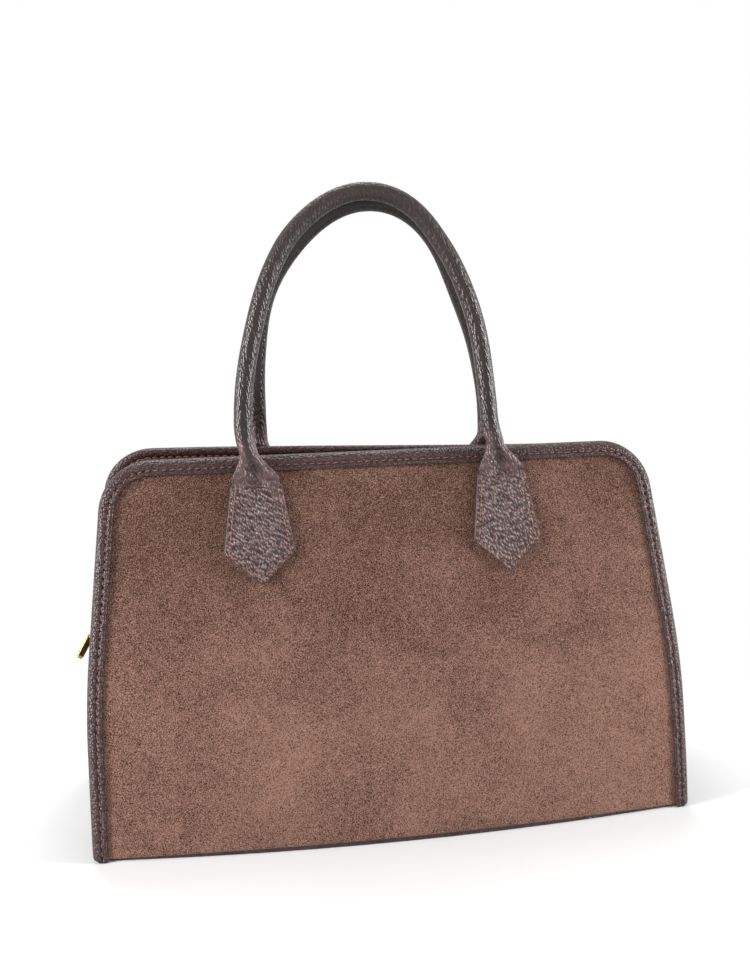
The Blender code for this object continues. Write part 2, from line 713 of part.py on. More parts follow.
def make_handle(side, word, leather, cord):
    """A rope core in a leather tube that is sewn along the arch's inner side, with a neck on each leg."""
    path = arch_path(side)
    slit = HANDLE_SEAM / (2 * HANDLE_RADIUS)
    round_from_slit = 2 * math.pi - 2 * slit
    bore = HANDLE_RADIUS - HANDLE_LEATHER
    section = [(HANDLE_RADIUS, slit + round_from_slit * i / TUBE_SIDES) for i in range(TUBE_SIDES + 1)]
    section += [(bore, slit + round_from_slit * i / BORE_SIDES) for i in range(BORE_SIDES, -1, -1)]
    cover = turned_about(sweep(f"{word}_handle_cover", tube_rings(path, section), leather), side)
    for at, leg in ((LEFT, "left"), (RIGHT, "right")):
        combine(cover, make_neck(f"{word}_{leg}_neck", side, at, leather))
        middle = Vector((leg_x(at), -hinge_y(), HINGE_HEIGHT))
        roll = rod(
            f"{word}_{leg}_roll", middle, Vector((1, 0, 0)), TAB_LEATHER / 2 - PLUG_PROUD,
            TAB_TOP_WIDTH - 2 * PLUG_PROUD, TUBE_SIDES, leather,
        )
        combine(cover, turned_about(roll, side))
    core_section = [(bore - GAP, 2 * math.pi * i / CORE_SIDES) for i in range(CORE_SIDES)]
    inner = [point for point in path if point.z > path[0].z + CORE_SETBACK]
    start = path[0] + (inner[0] - path[0]).normalized() * CORE_SETBACK
    end = path[-1] + (inner[-1] - path[-1]).normalized() * CORE_SETBACK
    core = sweep(f"{word}_handle_core", tube_rings([start, *inner, end], core_section), cord)
    joint = pivot(f"{word}_handle_pivot", Vector((0, side * hinge_y(), HINGE_HEIGHT)))
    hang_on(joint, cover)
    hang_on(joint, turned_about(core, side))


def make_tabs(side, word, leather):
    """Chevron tabs sewn flat to the face, one under each leg of the handle."""
    head = HINGE_HEIGHT - TAB_LEATHER / 2 - GAP
    half, top = TAB_WIDTH / 2, TAB_TOP_WIDTH / 2
    shoulder = BODY_HEIGHT - TAB_SHOULDER_DROP
    tip = BODY_HEIGHT - TAB_TIP_DROP
    corners = ((-top, head), (-half, shoulder), (0.0, tip), (half, shoulder), (top, head))
    for at, leg in ((LEFT, "left"), (RIGHT, "right")):
        bm = bmesh.new()
        middle = leg_x(at)
        verts = [bm.verts.new((middle + x, 0, z)) for x, z in corners]
        face = bm.faces.new(verts)
        bmesh.ops.subdivide_edges(bm, edges=face.edges[:], cuts=TAB_EDGE_STEPS)
        drawn = bmesh.ops.extrude_face_region(bm, geom=bm.faces[:])["geom"]
        outer = {item for item in drawn if isinstance(item, bmesh.types.BMVert)}
        for vert in bm.verts:
            raised = vert in outer
            x, z = vert.co.x, vert.co.z
            if raised:
                x = middle + (x - middle) * (1 - TAB_BEVEL / half)
                z -= TAB_HEAD_SLOPE if z > head - GAP else 0
            vert.co = (x, -(half_depth(x, z) + GAP + (TAB_LEATHER if raised else 0)), z)
        turned_about(finish_mesh(f"{word}_{leg}_tab", bm, leather, smooth=False), side)


def main():
    for old in list(bpy.data.objects):
        bpy.data.objects.remove(old)
    suede = material("suede", (0.155, 0.082, 0.058), 0.95)
    leather = material("grained_leather", (0.052, 0.034, 0.032), 0.5)
    textile = material("zip_tape", (0.03, 0.02, 0.018), 0.85)
    gold = material("gold_plate", (0.75, 0.58, 0.32), 0.25, 1.0)
    fabric = material("lining_fabric", (0.22, 0.16, 0.11), 0.9)
    board = material("board", (0.3, 0.24, 0.17), 0.85)
    cord = material("rope_core", (0.5, 0.45, 0.36), 0.9)
    make_faces(suede, board, fabric)
    make_base(leather, board)
    make_side_lining(fabric)
    make_bindings(leather)
    make_gussets(leather)
    make_zip(leather, textile, gold)
    make_slider(gold)
    for side, word in ((FRONT, "front"), (BACK, "back")):
        make_handle(side, word, leather, cord)
        make_tabs(side, word, leather)


main()
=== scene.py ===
"""A suede handbag with leather-bound edges, a zip round its top and two rolled leather handles.

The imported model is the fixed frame. The suede faces, bindings, band, zip and handles are finer
pieces here, and each stands for its solids. The base, its board, the stiffeners and the lining keep
their solids and get their finishes. All lengths are metres, with +Z up and the front face towards -Y.
"""

import logging
import math
from collections.abc import Callable, Iterable, Sequence
from dataclasses import dataclass
from enum import Enum
from functools import cache, reduce

import bmesh
import bpy
from mathutils import Matrix, Vector, noise


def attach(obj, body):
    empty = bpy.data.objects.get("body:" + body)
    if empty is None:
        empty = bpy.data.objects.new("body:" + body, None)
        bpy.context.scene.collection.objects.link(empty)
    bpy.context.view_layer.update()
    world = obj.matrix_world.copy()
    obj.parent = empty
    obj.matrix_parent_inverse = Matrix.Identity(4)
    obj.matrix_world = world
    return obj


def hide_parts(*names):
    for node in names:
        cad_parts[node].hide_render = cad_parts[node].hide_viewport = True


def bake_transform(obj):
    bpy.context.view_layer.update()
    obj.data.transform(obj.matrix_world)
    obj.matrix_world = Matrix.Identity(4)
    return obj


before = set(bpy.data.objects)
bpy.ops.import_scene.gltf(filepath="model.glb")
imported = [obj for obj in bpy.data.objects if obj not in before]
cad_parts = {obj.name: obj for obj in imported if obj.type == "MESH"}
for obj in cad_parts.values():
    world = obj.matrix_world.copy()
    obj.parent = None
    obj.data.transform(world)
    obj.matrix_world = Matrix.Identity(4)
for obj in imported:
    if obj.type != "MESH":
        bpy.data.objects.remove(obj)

MM = 0.001
LOG = logging.getLogger("handbag")

Point = tuple[float, float]
Colour = tuple[float, float, float, float]
Socket = bpy.types.NodeSocket


class Face(Enum):
    """Which of the two suede faces a piece belongs to, as the sign of its y."""

    FRONT = -1
    BACK = 1

    @property
    def word(self) -> str:
        """The face's name in node names."""
        return self.name.lower()


class Side(Enum):
    """Which end of the bag a piece is on, as the sign of its x."""

    LEFT = -1
    RIGHT = 1

    @property
    def word(self) -> str:
        """The side's name in node names."""
        return self.name.lower()


def smooth_step(share: float) -> float:
    """Eases a share from 0 to 1, and holds it there on both sides."""
    share = min(max(share, 0.0), 1.0)
    return share * share * (3 - 2 * share)


def bell(distance: float, width: float) -> float:
    """A bell curve of height 1 at distance 0."""
    return math.exp(-(distance / width) ** 2)


# Finishes


def srgb(code: str) -> Colour:
    """Turns an sRGB hex value into the linear colour that a socket takes.

    Args:
        code: Six hex digits.

    Returns:
        Red, green, blue and an alpha of 1.
    """
    channels = [int(code[i:i + 2], 16) / 255 for i in (0, 2, 4)]
    linear = [c / 12.92 if c <= 0.04045 else ((c + 0.055) / 1.055) ** 2.4 for c in channels]
    return (linear[0], linear[1], linear[2], 1.0)


def add_node(
    tree: bpy.types.NodeTree, kind: str, settings: dict[str, object], inputs: dict[str | int, object],
) -> bpy.types.Node:
    """Adds one node with its settings, its values and its links.

    Args:
        tree: The node tree that gets it.
        kind: The node's type.
        settings: Its properties by name.
        inputs: A value, or the socket to link, for each input by name or number.

    Returns:
        The new node.
    """
    made = tree.nodes.new(kind)
    for name, value in settings.items():
        setattr(made, name, value)
    for key, value in inputs.items():
        if isinstance(value, bpy.types.NodeSocket):
            tree.links.new(value, made.inputs[key])
        else:
            made.inputs[key].default_value = value
    return made


@dataclass(frozen=True)
class Tree:
    """A material's node tree with its shader, and the kinds of node that the finishes are drawn with."""

    nodes: bpy.types.NodeTree
    shader: bpy.types.Node

    def place(self, kind: str = "Object") -> Socket:
        """The place on the piece, in metres."""
        return add_node(self.nodes, "ShaderNodeTexCoord", {}, {}).outputs[kind]

    def axis(self, place: Socket, name: str) -> Socket:
        """One coordinate of a place: X, Y or Z."""
        return add_node(self.nodes, "ShaderNodeSeparateXYZ", {}, {"Vector": place}).outputs[name]

    def mark(self, name: str) -> Socket:
        """What a mesh is marked with at a point, 0 where it has no such mark."""
        return add_node(self.nodes, "ShaderNodeAttribute", {"attribute_name": name}, {}).outputs["Fac"]

    def laid(self, place: Socket, lean: float, stretch: float) -> Socket:
        """The place for a pattern that leans by an angle and is drawn out along its height.

        Args:
            place: Where the pattern is read.
            lean: The angle, in radians.
            stretch: How many times as long it gets.

        Returns:
            Where it is read instead.
        """
        return add_node(self.nodes, "ShaderNodeMapping", {"vector_type": "TEXTURE"}, {
            "Vector": place, "Rotation": (0.0, lean, 0.0), "Scale": (1.0, 1.0, stretch),
        }).outputs["Vector"]

    def noise(
        self, place: Socket, size: float, detail: float, roughness: float = 0.5, distortion: float = 0.0,
        output: str = "Fac",
    ) -> Socket:
        """Clouds of about this size, with finer ones in them.

        Args:
            place: Where the pattern is read.
            size: How wide a cloud is.
            detail: How many times finer clouds are laid over it.
            roughness: How much the finer ones count.
            distortion: How much the clouds are pulled about.
            output: Fac for a number around 0.5, Color for three of them.

        Returns:
            The pattern.
        """
        return add_node(self.nodes, "ShaderNodeTexNoise", {}, {
            "Vector": place, "Scale": 1 / size, "Detail": detail, "Roughness": roughness,
            "Distortion": distortion,
        }).outputs[output]

    def maths(self, operation: str, *values: Socket | float, clamp: bool = False) -> Socket:
        """The result of a sum on up to three values."""
        settings = {"operation": operation, "use_clamp": clamp}
        return add_node(self.nodes, "ShaderNodeMath", settings, dict(enumerate(values))).outputs[0]

    def total(self, *parts: Socket) -> Socket:
        """All the values added up, in their order."""
        return reduce(lambda before, part: self.maths("ADD", before, part), parts)

    def ramp(
        self, value: Socket, span: Point = (0.0, 1.0), to: Point = (0.0, 1.0), smooth: bool = False,
        clamp: bool = True,
    ) -> Socket:
        """Turns one span of values into another.

        Args:
            value: What is read.
            span: The value at the ramp's start, and the one at its end.
            to: What these two become.
            smooth: Whether the ramp eases in and out.
            clamp: Whether it holds its ends outside the span.

        Returns:
            The new value.
        """
        settings = {"interpolation_type": "SMOOTHSTEP" if smooth else "LINEAR", "clamp": clamp}
        return add_node(self.nodes, "ShaderNodeMapRange", settings, {
            "Value": value, "From Min": span[0], "From Max": span[1], "To Min": to[0], "To Max": to[1],
        }).outputs["Result"]

    def mix(self, share: Socket, low: Socket | str, high: Socket | str) -> Socket:
        """Blends two colours, each a socket or an sRGB hex value.

        Args:
            share: How much there is of the second.
            low: The first colour.
            high: The second.

        Returns:
            The blend.
        """
        tones = [srgb(tone) if isinstance(tone, str) else tone for tone in (low, high)]
        return add_node(self.nodes, "ShaderNodeMix", {"data_type": "RGBA"}, {
            0: share, 6: tones[0], 7: tones[1],
        }).outputs[2]

    def link(self, name: str, value: Socket) -> None:
        """Links a value to one of the shader's sockets."""
        self.nodes.links.new(value, self.shader.inputs[name])

    def fix(self, values: dict[str, float | Colour]) -> None:
        """Sets the shader's own sockets, by name."""
        for name, value in values.items():
            self.shader.inputs[name].default_value = value

    def surface(self, colour: Socket, height: Socket, strength: float, relief: float) -> None:
        """Gives the shader a colour, and a bump of this height and strength.

        Args:
            colour: The colour.
            height: The bump's height, as a share.
            strength: How much of the bump shows.
            relief: How high a share of 1 stands.
        """
        bump = add_node(self.nodes, "ShaderNodeBump", {}, {
            "Strength": strength, "Distance": relief, "Height": height,
        })
        self.link("Base Color", colour)
        self.link("Normal", bump.outputs["Normal"])


@dataclass(frozen=True)
class Finish:
    """What every finish has: a name, and a way to set up its shader."""

    name: str = "finish"

    def dress(self, tree: Tree) -> None:
        """Adds the finish's own nodes and sets its shader."""

    @cache
    def material(self) -> bpy.types.Material:
        """The finish's material, made once.

        Returns:
            The material.
        """
        made = bpy.data.materials.new(self.name)
        made.use_nodes = True
        self.dress(Tree(made.node_tree, made.node_tree.nodes["Principled BSDF"]))
        return made


@dataclass(frozen=True)
class Suede(Finish):
    """Split cowhide, brushed to a nap: matt, speckled, and mottled where the nap lies differently."""

    name: str = "brushed_suede"
    dark: str = "36231b"
    light: str = "9b7668"
    sheen: str = "c9a898"
    tuft: float = 0.45 * MM
    ruffle: float = 5 * MM
    patch: float = 46 * MM
    nap_lean: float = -0.5
    nap_stretch: float = 1.5

    def dress(self, tree: Tree) -> None:
        """A fine nap breaks up the colour, and wide soft patches show where it was brushed.

        Args:
            tree: The material's tree.
        """
        place = tree.place()
        # The real nap is about 0.3 mm fine. It is drawn coarser, as the eye sees it from a metre off.
        tufts = tree.noise(tree.laid(place, self.nap_lean, self.nap_stretch), self.tuft, 1.0)
        ruffles = tree.noise(place, self.ruffle, 2.0)
        patches = tree.noise(place, self.patch, 3.0, roughness=0.55, distortion=0.4)
        parts = [
            tree.ramp(nap, (0.3, 0.7), (-reach, reach), clamp=False)
            for nap, reach in ((tufts, 0.7), (patches, 0.15), (ruffles, 0.08))
        ]
        # The face is paler towards its foot, partly its own tone and partly painted light that falls more
        # on the lower face, and paler on its right half, less so at the foot.
        z = tree.axis(place, "Z")
        rightward = tree.ramp(tree.axis(place, "X"), (0.02, 0.13), (0.0, 0.08), smooth=True)
        paler_right_half = tree.maths("MULTIPLY", rightward, tree.ramp(z, (0.03, 0.09), (0.2, 1.0), smooth=True))
        tone_and_painted_light = tree.total(paler_right_half, tree.ramp(z, (0.04, 0.2), (0.54, 0.25), smooth=True))
        tree.surface(tree.mix(tree.total(*parts, tone_and_painted_light), self.dark, self.light), tufts, 0.55, 0.35 * MM)
        tree.fix({
            "Roughness": 1.0, "Specular IOR Level": 0.1, "Sheen Weight": 0.12, "Sheen Roughness": 0.6,
            "Sheen Tint": srgb(self.sheen),
        })


@dataclass(frozen=True)
class GrainedLeather(Finish):
    """Cowhide drummed soft and finished with a gloss: each pebble catches the lamps, creases stay dark."""

    name: str = "drummed_leather"
    crease: str = "3f2a2a"
    pebble: str = "543c3c"
    # tip: a pale tone painted on the pebble tops as highlights
    tip: str = "8d797a"
    painted_highlight_share: float = 0.6
    pebble_width: float = 2.3 * MM
    stretch: float = 1.0
    lean: float = 0.0
    relief: float = 2.4 * MM
    calm_share: float = 0.3
    # drawn: a paler tone laid on the necks as painted sheen
    drawn: str = "6c5757"
    # rolled: a dark tone laid on the tube and down the necks' valley as painted shade
    rolled: str = "1c0f0e"
    gloss: float = 0.2
    shine: float = 0.5

    def pebbles(self, tree: Tree, place: Socket) -> Socket:
        """How far each point is from the middle of its pebble, counted in pebble widths.

        Args:
            tree: The material's tree.
            place: Where the pattern is read.

        Returns:
            The distance.
        """
        drawn_out = tree.laid(place, self.lean, self.stretch)
        bend = tree.noise(drawn_out, self.pebble_width / 0.35, 2.0, output="Color")
        bent = add_node(tree.nodes, "ShaderNodeVectorMath", {"operation": "MULTIPLY_ADD"}, {
            0: bend, 1: (0.6 * self.pebble_width,) * 3, 2: drawn_out,
        }).outputs["Vector"]
        return add_node(tree.nodes, "ShaderNodeTexVoronoi", {"feature": "SMOOTH_F1"}, {
            "Vector": bent, "Scale": 1 / self.pebble_width, "Smoothness": 0.12, "Randomness": 0.8,
        }).outputs["Distance"]

    def dress(self, tree: Tree) -> None:
        """Round pebbles of uneven size meet in creases. They are flatter where a mesh is marked calm.

        Args:
            tree: The material's tree.
        """
        place, calm = tree.place(), tree.mark("calm")
        distance = self.pebbles(tree, place)
        flatter = tree.maths("MULTIPLY_ADD", calm, self.calm_share - 1, 1.0)
        top = tree.ramp(distance, (0.62, 0.3), smooth=True)
        wear = tree.maths("MULTIPLY_ADD", tree.noise(place, 24 * MM, 3.0), 0.5, -0.25)
        colour = tree.mix(tree.maths("ADD", top, wear, clamp=True), self.crease, self.pebble)
        # The pebble tops are painted paler, as highlights.
        rubbed = tree.ramp(distance, (0.34, 0.12), (0.0, self.painted_highlight_share), smooth=True)
        # Laid over each other: painted highlights on the pebble tips, a paler painted sheen on the necks,
        # painted shade on the tube, and painted shade down the necks' valley.
        for share, tone in (
            (tree.maths("MULTIPLY", rubbed, flatter), self.tip),
            (tree.ramp(calm, (0.2, 0.7), (0.0, 0.45)), self.drawn),
            (tree.ramp(calm, (0.8, 1.0), (0.0, 0.9)), self.rolled),
            (tree.maths("MULTIPLY", tree.mark("valley"), 0.8), self.rolled),
        ):
            colour = tree.mix(share, colour, tone)
        dome = tree.maths("MULTIPLY_ADD", tree.maths("POWER", distance, 2.0), -1.7, 1.0)
        pores = tree.noise(place, self.pebble_width / 3, 3.0, roughness=0.6)
        height = tree.maths("MULTIPLY_ADD", pores, 0.07, dome)
        tree.surface(colour, tree.maths("MULTIPLY", height, flatter), 1.0, self.relief)
        # Drawn leather is glossier, and the hand has worn the gloss off the top of the handles.
        rough = tree.ramp(top, to=(self.gloss + 0.2, self.gloss))
        drawn_rough = tree.maths("MULTIPLY_ADD", calm, -0.07, rough)
        worn = tree.ramp(tree.axis(place, "Z"), (0.3, 0.37), (0.0, 0.3), smooth=True)
        tree.link("Roughness", tree.total(drawn_rough, worn))
        tree.fix({"Specular IOR Level": self.shine})


@dataclass(frozen=True)
class CutEdge(Finish):
    """The cut edge of leather: stained dark, rubbed smooth, and still a little fibrous."""

    name: str = "stained_leather_edge"
    stain: str = "261d20"
    fibre: str = "4e4144"

    def dress(self, tree: Tree) -> None:
        """Fine fibres run through the stain.

        Args:
            tree: The material's tree.
        """
        fibres = tree.noise(tree.place(), 0.8 * MM, 3.0, roughness=0.65)
        tree.surface(tree.mix(fibres, self.stain, self.fibre), fibres, 0.5, 0.15 * MM)
        tree.fix({"Roughness": 0.5})


@dataclass(frozen=True)
class Thread(Finish):
    """Bonded polyester sewing thread, thick and twisted: its plies give small bright and dark bands."""

    name: str = "rust_thread"
    shadow: str = "6e3c2c"
    colour: str = "b06e55"
    ply: float = 0.7 * MM

    def dress(self, tree: Tree) -> None:
        """The twist shows as bands, less than a millimetre apart.

        Args:
            tree: The material's tree.
        """
        plies = tree.noise(tree.place(), self.ply, 1.0)
        tree.surface(tree.mix(plies, self.shadow, self.colour), plies, 0.5, 0.1 * MM)
        tree.fix({"Roughness": 0.55})


@dataclass(frozen=True)
class NeedleHole(Finish):
    """Where the needle went through the leather: a dent that the thread pulls in, painted dark as the shade
    inside it.
    """

    name: str = "needle_hole"
    colour: str = "2c1815"

    def dress(self, tree: Tree) -> None:
        """Painted dark as shade, and without gloss."""
        tree.fix({"Base Color": srgb(self.colour), "Roughness": 0.9, "Specular IOR Level": 0.1})


@dataclass(frozen=True)
class GoldPlate(Finish):
    """Zinc casting, polished and plated light gold: mirror-like, with hairlines from the buffing."""

    name: str = "light_gold_plate"
    dull: str = "8f7038"
    bright: str = "d8b878"
    polish: float = 0.16

    def dress(self, tree: Tree) -> None:
        """Hairlines and faint clouds roughen the polish.

        Args:
            tree: The material's tree.
        """
        place = tree.place()
        run = add_node(tree.nodes, "ShaderNodeMapping", {}, {"Vector": place, "Scale": (1.0, 1.0, 0.12)})
        hairlines = tree.noise(run.outputs["Vector"], 0.35 * MM, 2.0)
        tree.link("Base Color", tree.mix(tree.noise(place, 4 * MM, 3.0), self.dull, self.bright))
        tree.link("Roughness", tree.ramp(hairlines, (0.3, 0.7), (self.polish, self.polish + 0.14)))
        tree.fix({"Metallic": 1.0})


@dataclass(frozen=True)
class Woven(Finish):
    """A plain or twill weave of spun yarn: its two yarn directions cross in fine ribs."""

    name: str = "woven_cloth"
    gap: str = "15100f"
    yarn: str = "3a2b27"
    yarn_width: float = 0.5 * MM
    diagonal: float = 0.785
    along_uv: bool = False

    def dress(self, tree: Tree) -> None:
        """Ribs of yarn with darker gaps between them.

        Args:
            tree: The material's tree.
        """
        turned = add_node(tree.nodes, "ShaderNodeMapping", {}, {
            "Vector": tree.place("UV" if self.along_uv else "Object"), "Rotation": (self.diagonal,) * 3,
        }).outputs["Vector"]
        # A wave band is 1 / (scale x 20 / 2 pi) wide.
        fine = 2 * math.pi / 20 / self.yarn_width
        ribs, cross = (
            add_node(tree.nodes, "ShaderNodeTexWave", {"bands_direction": way}, {
                "Vector": turned, "Scale": scale, "Distortion": 0.6, "Detail": 1.0,
            }).outputs["Fac"]
            for way, scale in (("X", fine), ("Y", fine * 0.5))
        )
        weave = tree.maths("MULTIPLY_ADD", cross, 0.4, ribs)
        tree.surface(tree.mix(tree.ramp(weave, (0.0, 1.4)), self.gap, self.yarn), weave, 0.6, 0.15 * MM)
        tree.fix({"Roughness": 0.85, "Specular IOR Level": 0.25})


@dataclass(frozen=True)
class FibreBoard(Finish):
    """Pressed fibre board of leather and paper waste: matt, with flecks of fibre in it."""

    name: str = "pressed_fibre_board"
    ground: str = "8d7d66"
    fleck: str = "b7a88f"
    fleck_length: float = 2 * MM

    def dress(self, tree: Tree) -> None:
        """Flecks about 2 mm long lie in the ground.

        Args:
            tree: The material's tree.
        """
        flecks = tree.noise(tree.place(), self.fleck_length, 4.0, roughness=0.7, distortion=1.2)
        tree.surface(tree.mix(flecks, self.ground, self.fleck), flecks, 0.3, 0.1 * MM)
        tree.fix({"Roughness": 0.9})


SUEDE = Suede()
HANDLE_LEATHER = GrainedLeather(
    crease="38211f", pebble="5c403e", tip="ad9797", painted_highlight_share=0.35, pebble_width=1.7 * MM,
    stretch=2.2, lean=-0.35, relief=1.1 * MM, shine=0.45,
)
BINDING_LEATHER = GrainedLeather(
    "drummed_leather_strip", crease="261514", pebble="452a28", painted_highlight_share=0.4, pebble_width=1.5 * MM,
    relief=0.35 * MM, shine=0.4,
)
BAND_LEATHER = GrainedLeather(
    "drummed_leather_band", crease="2c1a18", pebble="46302e", painted_highlight_share=0.12, pebble_width=2.0 * MM,
    relief=0.5 * MM,
)
# The keel and its flanks are near black: its cut edges are dyed, and on its flanks the black is painted
# shade between the two handles.
KEEL_EDGE = CutEdge("dyed_edge_and_painted_shade", stain="0c090a", fibre="1c1618")
CUT_EDGE = CutEdge()
NEEDLE_HOLE = NeedleHole()
RUST_THREAD = Thread()
BROWN_THREAD = Thread("brown_thread", shadow="2a1d1a", colour="4e3a34")
GOLD = GoldPlate()
# The flats of the pull are painted almost black between bright bevels, as a painted reflection of the dark
# leather they face.
GOLD_WITH_PAINTED_REFLECTION = GoldPlate("gold_plate_with_painted_reflection", dull="241d10", bright="43381f")
TEETH_GOLD = GoldPlate("gold_plated_teeth", polish=0.26)
ZIP_TAPE = Woven("herringbone_zip_tape", yarn_width=0.6 * MM, along_uv=True)
LINING = Woven("cotton_twill_lining", gap="6f5a44", yarn="a58b6c", yarn_width=0.7 * MM)
BOARD = FibreBoard()
ROPE = Woven("laid_cotton_rope", gap="8f8672", yarn="d2c8b2", yarn_width=1.6 * MM)


# Shape of the body


@dataclass(frozen=True)
class Station:
    """A point of the outline, seen from the front, with its outward direction and its place along it."""

    x: float
    z: float
    nx: float
    nz: float
    run: float = 0.0


@dataclass(frozen=True)
class BodyShape:
    """The shape that faces, bindings and band share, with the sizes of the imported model."""

    base_width: float = 360 * MM
    top_width: float = 331.4 * MM
    height: float = 223 * MM
    corner_radius: float = 31 * MM
    knee_height: float = 88 * MM
    knee_blend: float = 25 * MM
    base_depth: float = 140 * MM
    top_depth: float = 44 * MM
    lean_power: float = 1.3
    belly: float = 13 * MM
    suede: float = 2.0 * MM
    gusset: float = 1.2 * MM
    binding: float = 1.2 * MM
    gap: float = 0.3 * MM
    band_inset: float = 10 * MM
    crown_at_zip_end: float = 9.5 * MM
    crown_at_top: float = 1.5 * MM
    zip_end_height: float = 108.4 * MM
    slump_foot: float = 118 * MM
    slump_at_left: float = -2 * MM
    slump_at_right: float = 6.5 * MM

    @property
    def taper(self) -> float:
        """How much narrower each side gets per metre of height, above the knee."""
        return (self.base_width - self.top_width) / 2 / (self.height - self.knee_height)

    @property
    def arc_start(self) -> float:
        """The angle at which the top corner's arc leaves the side."""
        return math.atan(self.taper)

    @property
    def arc_centre(self) -> Point:
        """The middle of the right top corner's arc.

        Returns:
            Its x and z.
        """
        z = self.height - self.corner_radius
        x = self.base_width / 2 - self.taper * (z - self.knee_height)
        return (x - self.corner_radius * math.hypot(1, self.taper), z)

    @property
    def flange_far(self) -> float:
        """The layer of the flange's inner side, counted from the suede's outer side."""
        return -(self.suede + self.gap + self.gusset)

    def half_width(self, z: float) -> float:
        """Half the outline's width at a height, before its corners are rounded.

        Args:
            z: The height.

        Returns:
            Half the width.
        """
        above = z - (self.knee_height - self.knee_blend)
        if above <= 0:
            return self.base_width / 2
        if above < 2 * self.knee_blend:
            return self.base_width / 2 - self.taper * above * above / (4 * self.knee_blend)
        return self.base_width / 2 - self.taper * (z - self.knee_height)

    def inset_half_width(self, z: float, inset: float) -> float:
        """Half the width at a height of the outline drawn this far inside its edge.

        Args:
            z: The height.
            inset: How far inside the edge.

        Returns:
            Half the width.
        """
        centre_x, centre_z = self.arc_centre
        radius = self.corner_radius - inset
        if z <= centre_z + radius * math.sin(self.arc_start):
            return self.half_width(z) - inset * math.hypot(1, self.taper)
        rise = min(z - centre_z, radius)
        return centre_x + math.sqrt(radius * radius - rise * rise)

    def half_depth(self, x: float, z: float) -> float:
        """How far a suede face's outer side stands from the middle plane.

        Args:
            x: The place across the bag.
            z: The height.

        Returns:
            The distance.
        """
        share = min(max(z / self.height, 0.0), 1.0)
        leaning = self.base_depth / 2 - (self.base_depth - self.top_depth) / 2 * share ** self.lean_power
        return leaning + self.belly * (1 - share * share) * (1 - (x / self.half_width(z)) ** 2)

    def slump(self, x: float, z: float, share: float) -> float:
        """How far the bag's soft top has sunk: the back's top edge hangs lower towards the right.

        Args:
            x: The place across the bag.
            z: Its height.
            share: 0 on the front face, 1 on the back one, and between them on the band.

        Returns:
            The drop.
        """
        sideways = smooth_step(x / self.top_width + 0.5)
        drop = self.slump_at_left + (self.slump_at_right - self.slump_at_left) * sideways
        return drop * share * smooth_step((z - self.slump_foot) / (self.height - self.slump_foot))

    def crown(self, z: float) -> float:
        """How far the band's middle stands proud of its two seams.

        Args:
            z: The height.

        Returns:
            The distance.
        """
        top = self.arc_centre[1] + self.corner_radius * math.sin(self.arc_start)
        slope = (self.crown_at_zip_end - self.crown_at_top) / (top - self.zip_end_height)
        if z >= top:
            return self.crown_at_top
        straight = self.crown_at_zip_end - slope * (z - self.zip_end_height)
        if z >= self.zip_end_height:
            return straight
        below = (self.zip_end_height - z) / self.zip_end_height
        return straight - (self.crown_at_zip_end + slope * self.zip_end_height) * below * below

    def side_station(self, z: float, side: Side = Side.RIGHT) -> Station:
        """The station at a height on one side, below its top corner.

        Args:
            z: The height.
            side: The side.

        Returns:
            The station.
        """
        bent = min(max((z - self.knee_height + self.knee_blend) / (2 * self.knee_blend), 0.0), 1.0)
        lean = self.taper * bent
        length = math.hypot(1, lean)
        return Station(side.value * self.half_width(z), z, side.value / length, lean / length)

    def outline(self, low: float, step: float) -> list[Station]:
        """Stations from a height on the left side, over the top and down to it on the right.

        Args:
            low: The height of the first and the last station.
            step: About how far apart they are.

        Returns:
            The stations, each with its distance from the first.
        """
        centre_x, centre_z = self.arc_centre
        side_top = centre_z + self.corner_radius * math.sin(self.arc_start)
        turn = math.pi / 2 - self.arc_start
        half = []
        count = math.ceil((side_top - low) / step)
        half += [self.side_station(low + (side_top - low) * i / count) for i in range(count)]
        count = math.ceil(self.corner_radius * turn / step)
        for i in range(count):
            angle = self.arc_start + turn * i / count
            nx, nz = math.cos(angle), math.sin(angle)
            half.append(Station(
                centre_x + self.corner_radius * nx, centre_z + self.corner_radius * nz, nx, nz,
            ))
        count = math.ceil(centre_x / step)
        half += [Station(centre_x * (1 - i / count), self.height, 0.0, 1.0) for i in range(count + 1)]
        whole = [Station(-s.x, s.z, -s.nx, s.nz) for s in half] + half[-2::-1]
        run, placed = 0.0, [whole[0]]
        for before, after in zip(whole, whole[1:]):
            run += math.hypot(after.x - before.x, after.z - before.z)
            placed.append(Station(after.x, after.z, after.nx, after.nz, run))
        return placed

    def face_point(self, station: Station, inset: float, face: Face, layer: float) -> Vector:
        """A point this far inside the outline, and this far outside a face's outer side.

        Args:
            station: The station of the outline.
            inset: How far inside it.
            face: The face.
            layer: How far outside the suede.

        Returns:
            The point.
        """
        x, z = station.x - station.nx * inset, station.z - station.nz * inset
        z -= self.slump(x, z, 1.0 if face is Face.BACK else 0.0)
        return Vector((x, face.value * (self.half_depth(x, z) + layer), z))

    def crease(self, station: Station, face: Face) -> float:
        """How far the band reaches from the middle plane to a face's binding."""
        seam = abs(self.face_point(station, self.band_inset, face, self.flange_far).y)
        return seam - self.binding - 2 * self.gap

    def band_point(self, station: Station, y: float, rise: float) -> Vector:
        """A point of the band at this y, this far outside its outer side.

        Args:
            station: The station of the outline.
            y: The distance from the middle plane, below zero at the front.
            rise: How far outside the leather.

        Returns:
            The point.
        """
        front, back = self.crease(station, Face.FRONT), self.crease(station, Face.BACK)
        swell = self.crown(station.z) * max(0.0, 1 - (y / (back if y > 0 else front)) ** 2)
        inset = self.band_inset - swell - rise
        x, z = station.x - station.nx * inset, station.z - station.nz * inset
        return Vector((x, y, z - self.slump(x, z, smooth_step((y + front) / (front + back)))))


BODY = BodyShape()


# Making pieces


